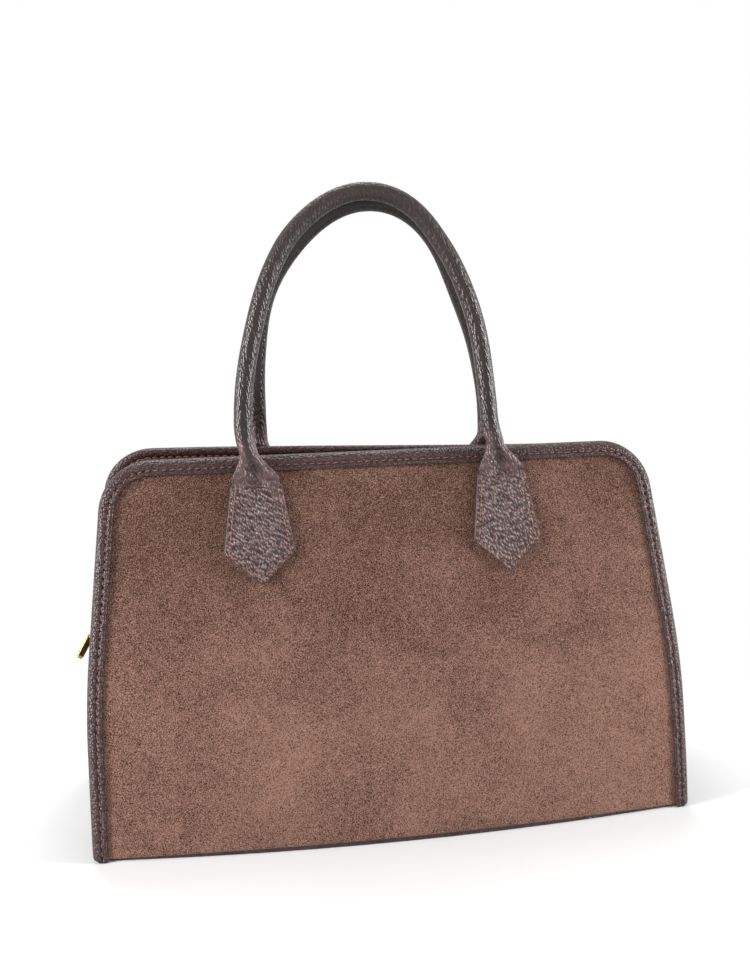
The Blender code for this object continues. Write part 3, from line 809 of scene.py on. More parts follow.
def loft(
    rings: Sequence[Sequence[Vector]], closed: bool = True,
    finish_at: Callable[[int, int], int] | None = None,
) -> bmesh.types.BMesh:
    """Lays a grid over equal rows of points, with its UV in metres along and around.

    Args:
        rings: The rows, in order.
        closed: Whether each row closes on itself, and the first and last are filled.
        finish_at: The number of the finish of the face after a row and a point of it.

    Returns:
        The new mesh, still open for more work.
    """
    rows = [list(ring) + ([ring[0]] if closed else []) for ring in rings]
    count, width = len(rows) - 1, len(rows[0]) - 1
    middle = rows[len(rows) // 2]
    around = [0.0]
    for before, after in zip(middle, middle[1:]):
        around.append(around[-1] + (after - before).length)
    along = [0.0]
    for before, after in zip(rows, rows[1:]):
        steps = [(after[k] - before[k]).length for k in (0, width // 3, 2 * width // 3)]
        along.append(along[-1] + max(steps))
    bm = bmesh.new()
    layer = bm.loops.layers.uv.new("UVMap")
    bmesh.ops.create_grid(bm, x_segments=count, y_segments=width, size=0.5)
    for face in bm.faces if finish_at else ():
        centre = face.calc_center_median()
        face.material_index = finish_at(int((centre.x + 0.5) * count), int((centre.y + 0.5) * width))
    for vert in bm.verts:
        i, j = round((vert.co.x + 0.5) * count), round((vert.co.y + 0.5) * width)
        vert.co = rows[i][j]
        for loop in vert.link_loops:
            loop[layer].uv = (along[i], around[j])
    if closed:
        bmesh.ops.remove_doubles(bm, verts=bm.verts, dist=1e-7)
        bmesh.ops.holes_fill(bm, edges=[edge for edge in bm.edges if edge.is_boundary], sides=0)
    return bm


def add_box(bm: bmesh.types.BMesh, middle: Vector, sides: Matrix) -> list[bmesh.types.BMVert]:
    """Adds a box to a mesh.

    Args:
        bm: The mesh.
        middle: The box's middle.
        sides: Its three sides as the columns of a matrix.

    Returns:
        The box's corners.
    """
    placed = Matrix.Translation(middle) @ sides.to_4x4()
    return bmesh.ops.create_cube(bm, size=1, matrix=placed)["verts"]


def bevel(bm: bmesh.types.BMesh, edges: Iterable[bmesh.types.BMEdge], offset: float, segments: int) -> None:
    """Rounds edges of a mesh.

    Args:
        bm: The mesh.
        edges: Its edges.
        offset: How far the rounding reaches.
        segments: In how many steps it turns.
    """
    bmesh.ops.bevel(
        bm, geom=list(edges), offset=offset, affect="EDGES", segments=segments, profile=0.5, material=-1,
    )


def piece(
    name: str, bm: bmesh.types.BMesh, finishes: Sequence[Finish], body: str, stands_for: Iterable[str] = (),
    sharp: float = 50.0,
) -> bpy.types.Object:
    """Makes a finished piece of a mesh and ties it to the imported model.

    Args:
        name: The piece's name.
        bm: Its mesh, which is used up.
        finishes: Its finishes, in the order of its faces' numbers.
        body: The body that it rides on.
        stands_for: The nodes that it replaces.
        sharp: Edges sharper than this many degrees stay sharp.

    Returns:
        The new object.
    """
    bmesh.ops.recalc_face_normals(bm, faces=bm.faces)
    if bm.calc_volume(signed=True) < 0:
        bmesh.ops.reverse_faces(bm, faces=bm.faces)
    mesh = bpy.data.meshes.new(name)
    bm.to_mesh(mesh)
    bm.free()
    for finish in finishes:
        mesh.materials.append(finish.material())
    mesh.shade_smooth()
    mesh.set_sharp_from_angle(angle=math.radians(sharp))
    made = bpy.data.objects.new(name, mesh)
    bpy.context.scene.collection.objects.link(made)
    if body:
        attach(made, body)
    names = list(stands_for)
    if names:
        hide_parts(*names)
    LOG.info("%s: %d faces", name, len(mesh.polygons))
    return made


@dataclass(frozen=True)
class Stitch:
    """One stitch lying on a surface: its middle, the way it runs and the way up from the surface."""

    middle: Vector
    along: Vector
    up: Vector


@dataclass(frozen=True)
class Seam:
    """A row of stitches, each a slim rounded pad of thread that dips in at its two ends."""

    pitch: float = 4.8 * MM
    length: float = 2.9 * MM
    width: float = 0.75 * MM
    height: float = 0.6 * MM
    slant: float = 0.1

    def sew(self, bm: bmesh.types.BMesh, stitches: Iterable[Stitch]) -> None:
        """Adds the stitches to a mesh, each a copy of one rounded pad.

        Args:
            bm: The mesh.
            stitches: Where they lie.
        """
        pad = bmesh.new()
        bmesh.ops.create_uvsphere(pad, u_segments=6, v_segments=5, radius=0.5)
        pattern = bpy.data.meshes.new("stitch_pattern")
        pad.to_mesh(pattern)
        pad.free()
        for stitch in stitches:
            side = stitch.up.cross(stitch.along).normalized()
            along = (stitch.along + side * self.slant).normalized()
            side = stitch.up.cross(along).normalized()
            axes = Matrix((side * self.width, stitch.up * self.height, along * self.length)).transposed()
            first = len(bm.verts)
            bm.from_mesh(pattern)
            bm.verts.ensure_lookup_table()
            for vert in bm.verts[first:]:
                vert.co = stitch.middle + axes @ vert.co
        bpy.data.meshes.remove(pattern)

    def along_path(self, points: Sequence[Vector], ups: Sequence[Vector]) -> list[Stitch]:
        """Spaces stitches evenly along a path of points with their upward directions.

        Args:
            points: The path.
            ups: The way up from the surface at each point.

        Returns:
            The stitches.
        """
        runs = [0.0]
        for before, after in zip(points, points[1:]):
            runs.append(runs[-1] + (after - before).length)
        count = max(1, round(runs[-1] / self.pitch))
        made, k = [], 0
        for i in range(count):
            target = runs[-1] * (i + 0.5) / count
            while k < len(runs) - 2 and runs[k + 1] < target:
                k += 1
            share = (target - runs[k]) / (runs[k + 1] - runs[k])
            made.append(Stitch(
                points[k].lerp(points[k + 1], share), (points[k + 1] - points[k]).normalized(),
                ups[k].lerp(ups[k + 1], share).normalized(),
            ))
        return made


@dataclass(frozen=True)
class SuedeFace:
    """One large suede face: a soft shell, bellied low down, with its lower edge turned under."""

    face: Face
    columns: int = 132
    rows: int = 84
    corner_rows: int = 14
    curl_radius: float = 1.7 * MM
    curl_steps: int = 5
    curl_turn: float = math.radians(95)
    foot_at_ends: float = 0.7 * MM
    foot_in_middle: float = 2.7 * MM
    foot_blend: float = 22 * MM
    row_power: float = 1.06
    wave_height: float = 0.9 * MM
    broad_wave: Point = (75 * MM, 60 * MM)
    small_wave: Point = (32 * MM, 30 * MM)
    still_edge: float = 26 * MM
    shell_share: float = 0.8

    def relief(self, x: float, z: float) -> float:
        """How far the hand-made surface strays from the plain shape.

        Args:
            x: The place across the bag.
            z: The height.

        Returns:
            The distance.
        """
        edge = min(BODY.half_width(z) - abs(x), BODY.height - z, z) / self.still_edge
        seed = 3.1 * self.face.value
        broad = noise.noise(Vector((x / self.broad_wave[0], z / self.broad_wave[1], seed)))
        small = noise.noise(Vector((x / self.small_wave[0], z / self.small_wave[1], seed + 7)))
        return (broad + 0.5 * small) * self.wave_height * smooth_step(edge)

    def build(self) -> None:
        """Makes the shell from rows of points, bottom to top, and gives it its thickness."""
        inset = BODY.binding + BODY.gap
        centre_z = BODY.arc_centre[1]
        radius = BODY.corner_radius - inset
        side_top = centre_z + radius * math.sin(BODY.arc_start)
        low = self.foot_in_middle + self.curl_radius
        heights = [low + (side_top - low) * (i / self.rows) ** self.row_power for i in range(self.rows)]
        turn = math.pi / 2 - BODY.arc_start
        heights += [
            centre_z + radius * math.sin(BODY.arc_start + turn * i / self.corner_rows)
            for i in range(self.corner_rows + 1)
        ]
        curls = [self.curl_turn * i / self.curl_steps for i in range(self.curl_steps, 0, -1)]
        rings = [self.row(low, inset, curl) for curl in curls]
        rings += [self.row(z, inset, 0.0) for z in heights]
        bm = loft(rings, closed=False)
        self.thicken(bm)
        piece(f"{self.face.word}_suede", bm, [SUEDE], "bag", [f"{self.face.word}_panel"])

    def row(self, height: float, inset: float, curl: float) -> list[Vector]:
        """One row of points across the face, turned under at the foot by an angle.

        Args:
            height: The row's height at the face's middle.
            inset: How far inside the outline it ends.
            curl: The angle.

        Returns:
            The points.
        """
        points = []
        for k in range(self.columns + 1):
            u = 2 * k / self.columns - 1
            drop = (self.foot_in_middle - self.foot_at_ends) * abs(u) ** 3
            z = height - drop * (1 - smooth_step((height - self.foot_in_middle) / self.foot_blend))
            x = u * BODY.inset_half_width(height, inset)
            z -= BODY.slump(x, z, 1.0 if self.face is Face.BACK else 0.0)
            y = BODY.half_depth(x, z) + self.relief(x, z) - self.curl_radius * (1 - math.cos(curl))
            points.append(Vector((x, self.face.value * y, z - self.curl_radius * math.sin(curl))))
        return points

    def thicken(self, bm: bmesh.types.BMesh) -> None:
        """Gives the shell its thickness inwards.

        Args:
            bm: The shell's mesh.
        """
        bmesh.ops.recalc_face_normals(bm, faces=bm.faces)
        bm.normal_update()
        middle = min(bm.faces, key=lambda face: face.calc_center_median().xz.length)
        if middle.normal.y * self.face.value < 0:
            bmesh.ops.reverse_faces(bm, faces=bm.faces)
        bmesh.ops.solidify(bm, geom=bm.faces[:], thickness=BODY.suede * self.shell_share)


@dataclass(frozen=True)
class Binding:
    """A folded strip round a face's edge: round at the fold, sewn down in a groove, its lip swelling."""

    face: Face
    width: float = 8.8 * MM
    foot: float = 0.5 * MM
    foot_radius: float = 3.4 * MM
    step: float = 1.2 * MM
    groove_inset: float = 5.6 * MM
    fold_steps: int = 10
    fold_swell: float = 0.2 * MM
    groove_width: float = 1.1 * MM
    hole_depth: float = 0.35 * MM
    hole_width: float = 0.8 * MM
    lip_swell: float = 0.22 * MM
    lip_inset: float = 1.3 * MM
    lip_width: float = 1.2 * MM
    pull_change: float = 0.25
    pull_run: float = 6 * MM
    plain_end: float = 30 * MM
    seam: Seam = Seam()

    @property
    def levels(self) -> Point:
        """The strip's outer and inner side, counted from the suede's outer side."""
        return BODY.gap + BODY.binding, BODY.flange_far - BODY.gap - BODY.binding

    def section(self) -> list[Point]:
        """Points of the section as (inset, layer), from the outer lip over the fold and back inside.

        Returns:
            The points.
        """
        high, low = self.levels
        radius = (high - low) / 2
        wide, groove = self.width, self.groove_inset
        lip = [
            (wide - 0.1 * MM, 0.25 * MM), (wide + 0.1 * MM, 0.8 * MM), (wide - 0.2 * MM, high),
            (wide - 0.9 * MM, high + 0.35 * MM), (wide - 1.8 * MM, high + 0.4 * MM),
            (groove + 0.7 * MM, high + 0.05 * MM), (groove, high - 0.45 * MM),
            (groove - 0.7 * MM, high + 0.05 * MM), (groove - 1.7 * MM, high + 0.4 * MM),
        ]
        fold = []
        for i in range(self.fold_steps + 1):
            angle = math.pi * i / self.fold_steps
            layer = (high + low) / 2 + (radius + self.fold_swell) * math.cos(angle)
            fold.append((radius - radius * math.sin(angle), layer))
        under = [(inset, high + low - layer) for inset, layer in lip[::-1]]
        inside = [
            (wide - 0.2 * MM, low + BODY.binding), (BODY.binding, low + BODY.binding),
            (BODY.binding, BODY.gap), (wide - 0.2 * MM, BODY.gap),
        ]
        return lip + fold + under[:-1] + inside

    def build(self) -> None:
        """Draws the section round the outline, with dimples where the needle went in."""
        section = self.section()
        stations = BODY.outline(self.foot, self.step)
        total = stations[-1].run
        pitch = total / round(total / self.seam.pitch)
        rings = []
        for station in stations:
            from_end = min(station.run, total - station.run)
            nearest = (station.run / pitch) % 1.0
            dimple = bell(min(nearest, 1 - nearest) * pitch, self.hole_width)
            strays = noise.noise(Vector((station.run / self.pull_run, 0.0, 4.0 * self.face.value)))
            pull = 1 - self.pull_change * strays
            short = max(0.0, self.foot_radius - from_end)
            cut = self.foot_radius - math.sqrt(max(0.0, self.foot_radius ** 2 - short ** 2))
            calm = smooth_step(from_end / self.plain_end)
            ring = []
            for inset, layer in section:
                swell = 0.0
                if layer > 0 or layer < BODY.flange_far:
                    groove = bell(inset - self.groove_inset, self.groove_width)
                    lip = bell(inset - self.width + self.lip_inset, self.lip_width)
                    swell = self.lip_swell * (pull - 0.5 - dimple) * lip * calm
                    swell -= self.hole_depth * dimple * groove
                outer = layer + math.copysign(swell, layer - BODY.flange_far / 2)
                ring.append(BODY.face_point(station, max(inset, cut), self.face, outer))
            rings.append(ring)
        # The needle holes get the second finish: painted shade in the holes.
        holes = {round(pitch * i / total * (len(stations) - 1)) for i in range(1, round(total / pitch))}
        groove = {k for k, (inset, _) in enumerate(section) if abs(inset - self.groove_inset) < 0.1 * MM}
        columns = groove | {k - 1 for k in groove}
        bm = loft(rings, finish_at=lambda row, column: int(column in columns and row in holes))
        piece(f"{self.face.word}_edge_binding", bm, [BINDING_LEATHER, NEEDLE_HOLE], "bag",
              [f"{self.face.word}_binding"])
        self.sew(stations)

    def sew(self, stations: Sequence[Station]) -> None:
        """Sews the groove on the face and on the band's side.

        Args:
            stations: The stations of the outline.
        """
        high, low = self.levels
        bm = bmesh.new()
        for sewn, outward in ((high - 0.2 * MM, MM), (low + 0.2 * MM, -MM)):
            points, above = (
                [BODY.face_point(s, self.groove_inset, self.face, layer) for s in stations[2:-2]]
                for layer in (sewn, sewn + outward)
            )
            ups = [(b - a).normalized() for a, b in zip(points, above)]
            self.seam.sew(bm, self.seam.along_path(points, ups))
        piece(f"{self.face.word}_binding_stitches", bm, [RUST_THREAD], "bag", ())


@dataclass(frozen=True)
class Band:
    """The leather between the two faces: a gusset low on each side, and the facings of the zip above."""

    step: float = 2.5 * MM
    columns: int = 20
    slot: float = 12 * MM
    foot: float = 2.7 * MM
    wrinkle_height: float = 0.5 * MM
    wrinkle_size: float = 30 * MM
    seam_inset: float = 2.5 * MM
    groove_depth: float = 0.2 * MM
    groove_width: float = 0.7 * MM
    edge_start: float = 0.6 * MM
    edge_round: float = 0.15 * MM
    edge_swell: float = 0.25 * MM
    facing_seam: Seam = Seam(pitch=3.6 * MM, length=2.9 * MM, width=0.7 * MM, height=0.6 * MM)

    def flange(self, station: Station, face: Face, near: bool) -> list[Vector]:
        """The flange's tip and the place where it turns into the band, on one of its two sides.

        Args:
            station: The station of the outline.
            face: The face that it is bound to.
            near: Whether the side is the one next to the suede.

        Returns:
            The two points.
        """
        layer = BODY.flange_far + (BODY.gusset if near else 0.0)
        depth = BODY.band_inset + (BODY.gusset if near else 0.0)
        tip = BODY.binding + BODY.gap
        return [BODY.face_point(station, tip, face, layer), BODY.face_point(station, depth, face, layer)]

    def wrinkle(self, station: Station, y: float) -> float:
        """How far soft leather strays from the plain crown.

        Args:
            station: The station of the outline.
            y: The distance from the middle plane.

        Returns:
            The distance.
        """
        edge = 1 - abs(y) / BODY.crease(station, Face.BACK)
        size = self.wrinkle_size
        strays = noise.noise(Vector((y / size, station.z / size, station.x)))
        return self.wrinkle_height * strays * smooth_step(4 * edge)

    def build_gusset(self, side: Side) -> None:
        """The gusset's section, across the band, drawn up the side.

        Args:
            side: The end of the bag.
        """
        count = round((BODY.zip_end_height - self.foot) / self.step)
        rings = []
        for i in range(count + 1):
            station = BODY.side_station(self.foot + (BODY.zip_end_height - self.foot) * i / count, side)
            crease = BODY.crease(station, Face.BACK)
            ys = [crease * (1 - k / self.columns) for k in range(2 * self.columns + 1)]
            outer = [BODY.band_point(station, y, self.wrinkle(station, y)) for y in ys]
            inner = [BODY.band_point(station, y, self.wrinkle(station, y) - BODY.gusset) for y in ys]
            (back, back_near), (front, front_near) = (
                [self.flange(station, face, near) for near in (False, True)]
                for face in (Face.BACK, Face.FRONT)
            )
            rings.append(back + outer + front[::-1] + front_near + inner[::-1] + back_near[::-1])
        piece(f"{side.word}_leather_gusset", loft(rings), [BAND_LEATHER], "bag", [f"{side.word}_gusset"],
              sharp=70)

    def build_facing(self, face: Face) -> None:
        """A facing runs from its binding to a turned edge along the zip's slot, with a seam inside it.

        Args:
            face: The face that it is bound to.
        """
        rings, seam_points, seam_ups = [], [], []
        edge = self.slot / 2
        for station in BODY.outline(BODY.zip_end_height + BODY.gap, self.step):
            crease = BODY.crease(station, face)
            flat_end = edge + self.edge_start
            ys = [crease + (flat_end - crease) * k / self.columns for k in range(self.columns + 1)]
            row = []
            for y in ys:
                groove = self.groove_depth * bell(y - edge - self.seam_inset, self.groove_width)
                row.append((y, self.edge_swell * bell(y - edge - 0.8 * MM, 1.0 * MM) - groove))
            row += [
                (edge + self.edge_round, 0.0), (edge, -BODY.gusset / 2),
                (edge + self.edge_round, -BODY.gusset),
            ]
            outer = [BODY.band_point(station, face.value * y, rise) for y, rise in row]
            inner = [BODY.band_point(station, face.value * y, -BODY.gusset) for y in ys[::-1]]
            far, near = self.flange(station, face, False), self.flange(station, face, True)
            rings.append(far + outer + inner + near[::-1])
            seam_y = face.value * (edge + self.seam_inset)
            low = BODY.band_point(station, seam_y, 0.0)
            seam_points.append(low)
            seam_ups.append((BODY.band_point(station, seam_y, MM) - low).normalized())
        name = f"{face.word}_zip"
        piece(f"{name}_edge_facing", loft(rings), [BAND_LEATHER], "bag", [f"{name}_facing"],
              sharp=70)
        bm = bmesh.new()
        self.facing_seam.sew(bm, self.facing_seam.along_path(seam_points, seam_ups))
        piece(f"{name}_facing_stitches", bm, [RUST_THREAD], "bag", ())

    def build(self) -> None:
        """Makes all four pieces of the band."""
        for side in Side:
            self.build_gusset(side)
        for face in Face:
            self.build_facing(face)


@dataclass(frozen=True)
class ZipFastener:
    """A woven tape on each side of the zip, with cast teeth that mesh in the middle."""

    tape: float = 0.8 * MM
    tape_reach: float = 15.5 * MM
    tape_tuck: float = 4 * MM
    chain_half_width: float = 3.2 * MM
    chain_height: float = 2.4 * MM
    stop_length: float = 2.5 * MM
    tooth_pitch: float = 2.6 * MM
    tooth: float = 1.05 * MM
    tooth_bevel: float = 0.25 * MM
    stop_bevel: float = 0.5 * MM
    overlap: float = 0.9 * MM
    tape_step: float = 3 * MM
    tape_columns: int = 8
    cord_height: float = 0.15 * MM

    @property
    def tape_face(self) -> float:
        """The tape's outer side, counted from the band's."""
        return -(BODY.gusset + BODY.gap)

    @property
    def chain_middle(self) -> float:
        """The middle of the teeth's height, counted from the band's outer side."""
        return self.tape_face - self.tape / 2

    def build_tape(self, face: Face) -> None:
        """The tape, with a corded edge along its teeth.

        Args:
            face: The half of the zip.
        """
        rings = []
        edge = self.chain_half_width + BODY.gap
        reach = self.tape_reach - edge
        for station in BODY.outline(BODY.zip_end_height - self.tape_tuck, self.tape_step):
            top = [
                (edge + reach * k / self.tape_columns, self.tape_face) for k in range(self.tape_columns + 1)
            ]
            top[0] = (edge, self.tape_face + self.cord_height)
            section = top + [(y, self.tape_face - self.tape) for y, _ in top[::-1]]
            rings.append([BODY.band_point(station, face.value * y, rise) for y, rise in section])
        name = f"{face.word}_zip"
        piece(f"{name}_woven_tape", loft(rings), [ZIP_TAPE], "bag", [f"{name}_tape"])

    def build_teeth(self, face: Face) -> None:
        """One tooth at every pitch, set back by half a pitch on the back tape.

        Args:
            face: The half of the zip.
        """
        low = BODY.zip_end_height + self.stop_length + 2 * BODY.gap
        stations = BODY.outline(low, self.tooth_pitch / 2)
        bm = bmesh.new()
        width = self.chain_half_width + self.overlap / 2
        middle_y = face.value * (self.chain_half_width - width / 2)
        for i in range(1 if face is Face.FRONT else 2, len(stations) - 1, 2):
            before, station, after = stations[i - 1:i + 2]
            middle = BODY.band_point(station, middle_y, self.chain_middle)
            along = BODY.band_point(after, middle_y, 0) - BODY.band_point(before, middle_y, 0)
            out = Vector((station.nx, 0, station.nz))
            across = out.cross(along).normalized()
            along = across.cross(out)
            sides = Matrix((across * width, along * self.tooth, out * self.chain_height)).transposed()
            add_box(bm, middle, sides)
        bevel(bm, bm.edges, self.tooth_bevel, 1)
        name = f"{face.word}_zip"
        piece(f"{name}_teeth", bm, [TEETH_GOLD], "bag", [f"{name}_chain"], sharp=30)

    def build_stop(self, side: Side) -> None:
        """A stop clamped over the end of the teeth.

        Args:
            side: The end of the zip.
        """
        foot = BODY.zip_end_height + BODY.gap
        low, high = (
            BODY.band_point(BODY.side_station(z, side), 0, self.chain_middle)
            for z in (foot, foot + self.stop_length)
        )
        along = high - low
        across = Vector((0, 1, 0))
        out = along.cross(across).normalized() * side.value
        sides = Matrix((across * 2 * self.chain_half_width, out * self.chain_height, along)).transposed()
        bm = bmesh.new()
        add_box(bm, (low + high) / 2, sides)
        bevel(bm, bm.edges, self.stop_bevel, 3)
        piece(f"{side.word}_end_stop", bm, [GOLD], "bag", [f"{side.word}_zip_stop"])

    def build(self) -> None:
        """Makes tapes, teeth and stops."""
        for face in Face:
            self.build_tape(face)
            self.build_teeth(face)
        for side in Side:
            self.build_stop(side)


@dataclass(frozen=True)
class Slider:
    """The slider: two plates joined by a web, with a bail of round wire that holds the pull."""

    length: float = 11 * MM
    width: float = 8 * MM
    plate: float = 1.2 * MM
    bail_wire: float = 0.6 * MM
    bail_length: float = 6.6 * MM
    bail_bend: float = 1.3 * MM
    bail_flatness: float = 1.3
    window: float = 1.8 * MM
    tail_share: float = 0.8
    corner: float = 2.2 * MM
    edge_bevel: float = 0.35 * MM
    rim_height: float = 1.8 * MM
    rim_width: float = 0.5 * MM
    rim_cut: float = 6 * MM
    rim_shift: float = 1.6 * MM
    web: tuple[float, float, float] = (3.4 * MM, 0.6 * MM, 2.4 * MM)
    web_drop: float = 1.3 * MM
    web_inset: float = 1.6 * MM
    bail_root: float = 0.5 * MM
    bail_sides: int = 12
    zip_fastener: ZipFastener = ZipFastener()

    @property
    def frame(self) -> Matrix:
        """The zip's run up the left side: +X outwards, +Z up the run, at the slider's middle.

        Returns:
            The frame as a matrix.
        """
        middle_height = BODY.zip_end_height + self.zip_fastener.stop_length + 2 * BODY.gap + self.length / 2
        low = BODY.band_point(BODY.side_station(BODY.zip_end_height, Side.LEFT), 0, 0)
        middle = BODY.band_point(BODY.side_station(middle_height, Side.LEFT), 0, 0)
        up = (middle - low).normalized()
        across = Vector((0, -1, 0))
        made = Matrix((across.cross(up), across, up)).transposed().to_4x4()
        made.translation = middle
        return made

    @property
    def plate_low(self) -> float:
        """The underside of the outer plate, counted from the band's outer side."""
        return self.zip_fastener.chain_middle + self.zip_fastener.chain_height / 2 + BODY.gap

    def slab(self, bm: bmesh.types.BMesh, low: float, half_wide: float, half_long: float) -> None:
        """Adds one plate, narrower at its tail and rounded all round.

        Args:
            bm: The mesh.
            low: Where its underside lies.
            half_wide: Half its width.
            half_long: Half its length.
        """
        sides = Matrix.Diagonal((self.plate, 2 * half_wide, 2 * half_long))
        made = add_box(bm, Vector((low + self.plate / 2, 0, 0)), sides)
        for vert in made:
            if vert.co.z < 0:
                vert.co.y *= self.tail_share
        upright = [
            edge for edge in {e for v in made for e in v.link_edges}
            if abs(edge.verts[0].co.x - edge.verts[1].co.x) > self.plate / 2
        ]
        bevel(bm, upright, self.corner, 5)

    def build(self) -> None:
        """Makes the plates, web, rims and bail in one piece."""
        fastener = self.zip_fastener
        bm = bmesh.new()
        self.slab(bm, self.plate_low, self.width / 2, self.length / 2)
        under = fastener.chain_middle - fastener.chain_height / 2 - BODY.gap - self.plate
        self.slab(bm, under, fastener.chain_half_width, self.length / 2 - 0.3 * MM)
        sharp = [edge for edge in bm.edges if edge.is_manifold and edge.calc_face_angle(0.0) > 1.0]
        bevel(bm, sharp, self.edge_bevel, 2)
        rim_x = fastener.tape_face + BODY.gap + self.rim_height / 2
        for at in (-1, 1):
            add_box(
                bm, Vector((rim_x, at * (self.width / 2 - self.edge_bevel), self.rim_shift)),
                Matrix.Diagonal((self.rim_height, self.rim_width, self.length - self.rim_cut)),
            )
        web_place = Vector((self.plate_low - self.web_drop, 0, self.length / 2 - self.web_inset))
        add_box(bm, web_place, Matrix.Diagonal(self.web))
        self.bail(bm)
        bmesh.ops.transform(bm, matrix=self.frame, verts=bm.verts)
        piece("zip_slider_body", bm, [GOLD], "slider", ["zip_slider"], sharp=40)

    def bail(self, bm: bmesh.types.BMesh) -> None:
        """A round wire that leaves the plate, runs along above it and comes down again.

        Args:
            bm: The mesh.
        """
        high = self.plate_low + self.plate
        top = high + self.window + self.bail_wire
        half, bend = self.bail_length / 2, self.bail_bend
        centre_line = [Vector((high - self.bail_root, 0, -half)), Vector((top - bend, 0, -half))]
        for i in range(1, 6):
            angle = math.pi / 2 * i / 5
            x, z = top - bend + bend * math.sin(angle), -half + bend - bend * math.cos(angle)
            centre_line.append(Vector((x, 0, z)))
        whole = centre_line + [Vector((p.x, 0, -p.z)) for p in centre_line[::-1]]
        rings = []
        for i, point in enumerate(whole):
            along = (whole[min(i + 1, len(whole) - 1)] - whole[max(i - 1, 0)]).normalized()
            across = Vector((0, 1, 0))
            out = across.cross(along)
            rings.append([
                point + (out * math.cos(a) + across * self.bail_flatness * math.sin(a)) * self.bail_wire
                for a in (2 * math.pi * k / self.bail_sides for k in range(self.bail_sides))
            ])
        wire = loft(rings)
        mesh = bpy.data.meshes.new("bail_wire")
        wire.to_mesh(mesh)
        wire.free()
        bm.from_mesh(mesh)
        bpy.data.meshes.remove(mesh)


@dataclass(frozen=True)
class Pull:
    """The pull: a slim bar with bevelled edges, forked at its pin and stepped in at its tip."""

    slider: Slider
    pin_radius: float = 0.6 * MM
    cheek: float = 1.0 * MM
    neck: float = 5 * MM
    length: float = 20.2 * MM
    width: float = 4.4 * MM
    thickness: float = 3.8 * MM
    tip: float = 1.4 * MM
    tip_step: float = 0.45 * MM
    tip_root: float = 0.4 * MM
    fork: float = 0.8 * MM
    cheek_root: float = 0.8 * MM
    eye_wall: float = 0.2 * MM
    pin_excess: float = 0.3 * MM
    pin_sides: int = 16
    bar_bevel: float = 0.55 * MM
    small_bevel: float = 0.3 * MM
    lean: float = math.radians(30)

    def bar(self, bm: bmesh.types.BMesh, low: Vector, high: Vector, offset: float) -> None:
        """Adds a bar between two corners, with its edges bevelled."""
        corners = add_box(bm, (low + high) / 2, Matrix.Diagonal(high - low))
        bevel(bm, {edge for corner in corners for edge in corner.link_edges}, offset, 3)

    def build(self) -> None:
        """Makes bar, tip, fork and pin in one piece."""
        half_thick, half_wide = self.thickness / 2, self.width / 2
        bm = bmesh.new()
        self.bar(
            bm, Vector((-half_thick, -half_wide, self.tip - self.length)),
            Vector((half_thick, half_wide, -self.neck)), self.bar_bevel,
        )
        bm.normal_update()
        # The bar's flats get the second finish, a painted dark reflection.
        for face in bm.faces:
            face.material_index = int(max(abs(face.normal.x), abs(face.normal.y)) > 0.99)
        step = self.tip_step
        self.bar(
            bm, Vector((step - half_thick, step - half_wide, -self.length)),
            Vector((half_thick - step, half_wide - step, self.tip - self.length + self.tip_root)),
            self.small_bevel,
        )
        inner, eye = self.fork + BODY.gap, self.pin_radius + self.eye_wall
        for at in (-1, 1):
            ys = sorted((at * inner, at * (inner + self.cheek)))
            self.bar(
                bm, Vector((-eye, ys[0], -self.neck - self.cheek_root)), Vector((eye, ys[1], eye)),
                self.small_bevel,
            )
        bmesh.ops.create_cone(
            bm, cap_ends=True, segments=self.pin_sides, radius1=self.pin_radius, radius2=self.pin_radius,
            depth=2 * (inner + self.cheek) + self.pin_excess, matrix=Matrix.Rotation(math.pi / 2, 4, "X"),
        )
        pin_x = self.slider.plate_low + self.slider.plate + BODY.gap + self.pin_radius
        pin = self.slider.frame @ Vector((pin_x, 0, 0))
        placed = Matrix.Translation(pin) @ Matrix.Rotation(self.lean, 4, "Y")
        bmesh.ops.transform(bm, matrix=placed, verts=bm.verts)
        piece("zip_pull_bar", bm, [GOLD, GOLD_WITH_PAINTED_REFLECTION], "pull", ["zip_pull"], sharp=40)


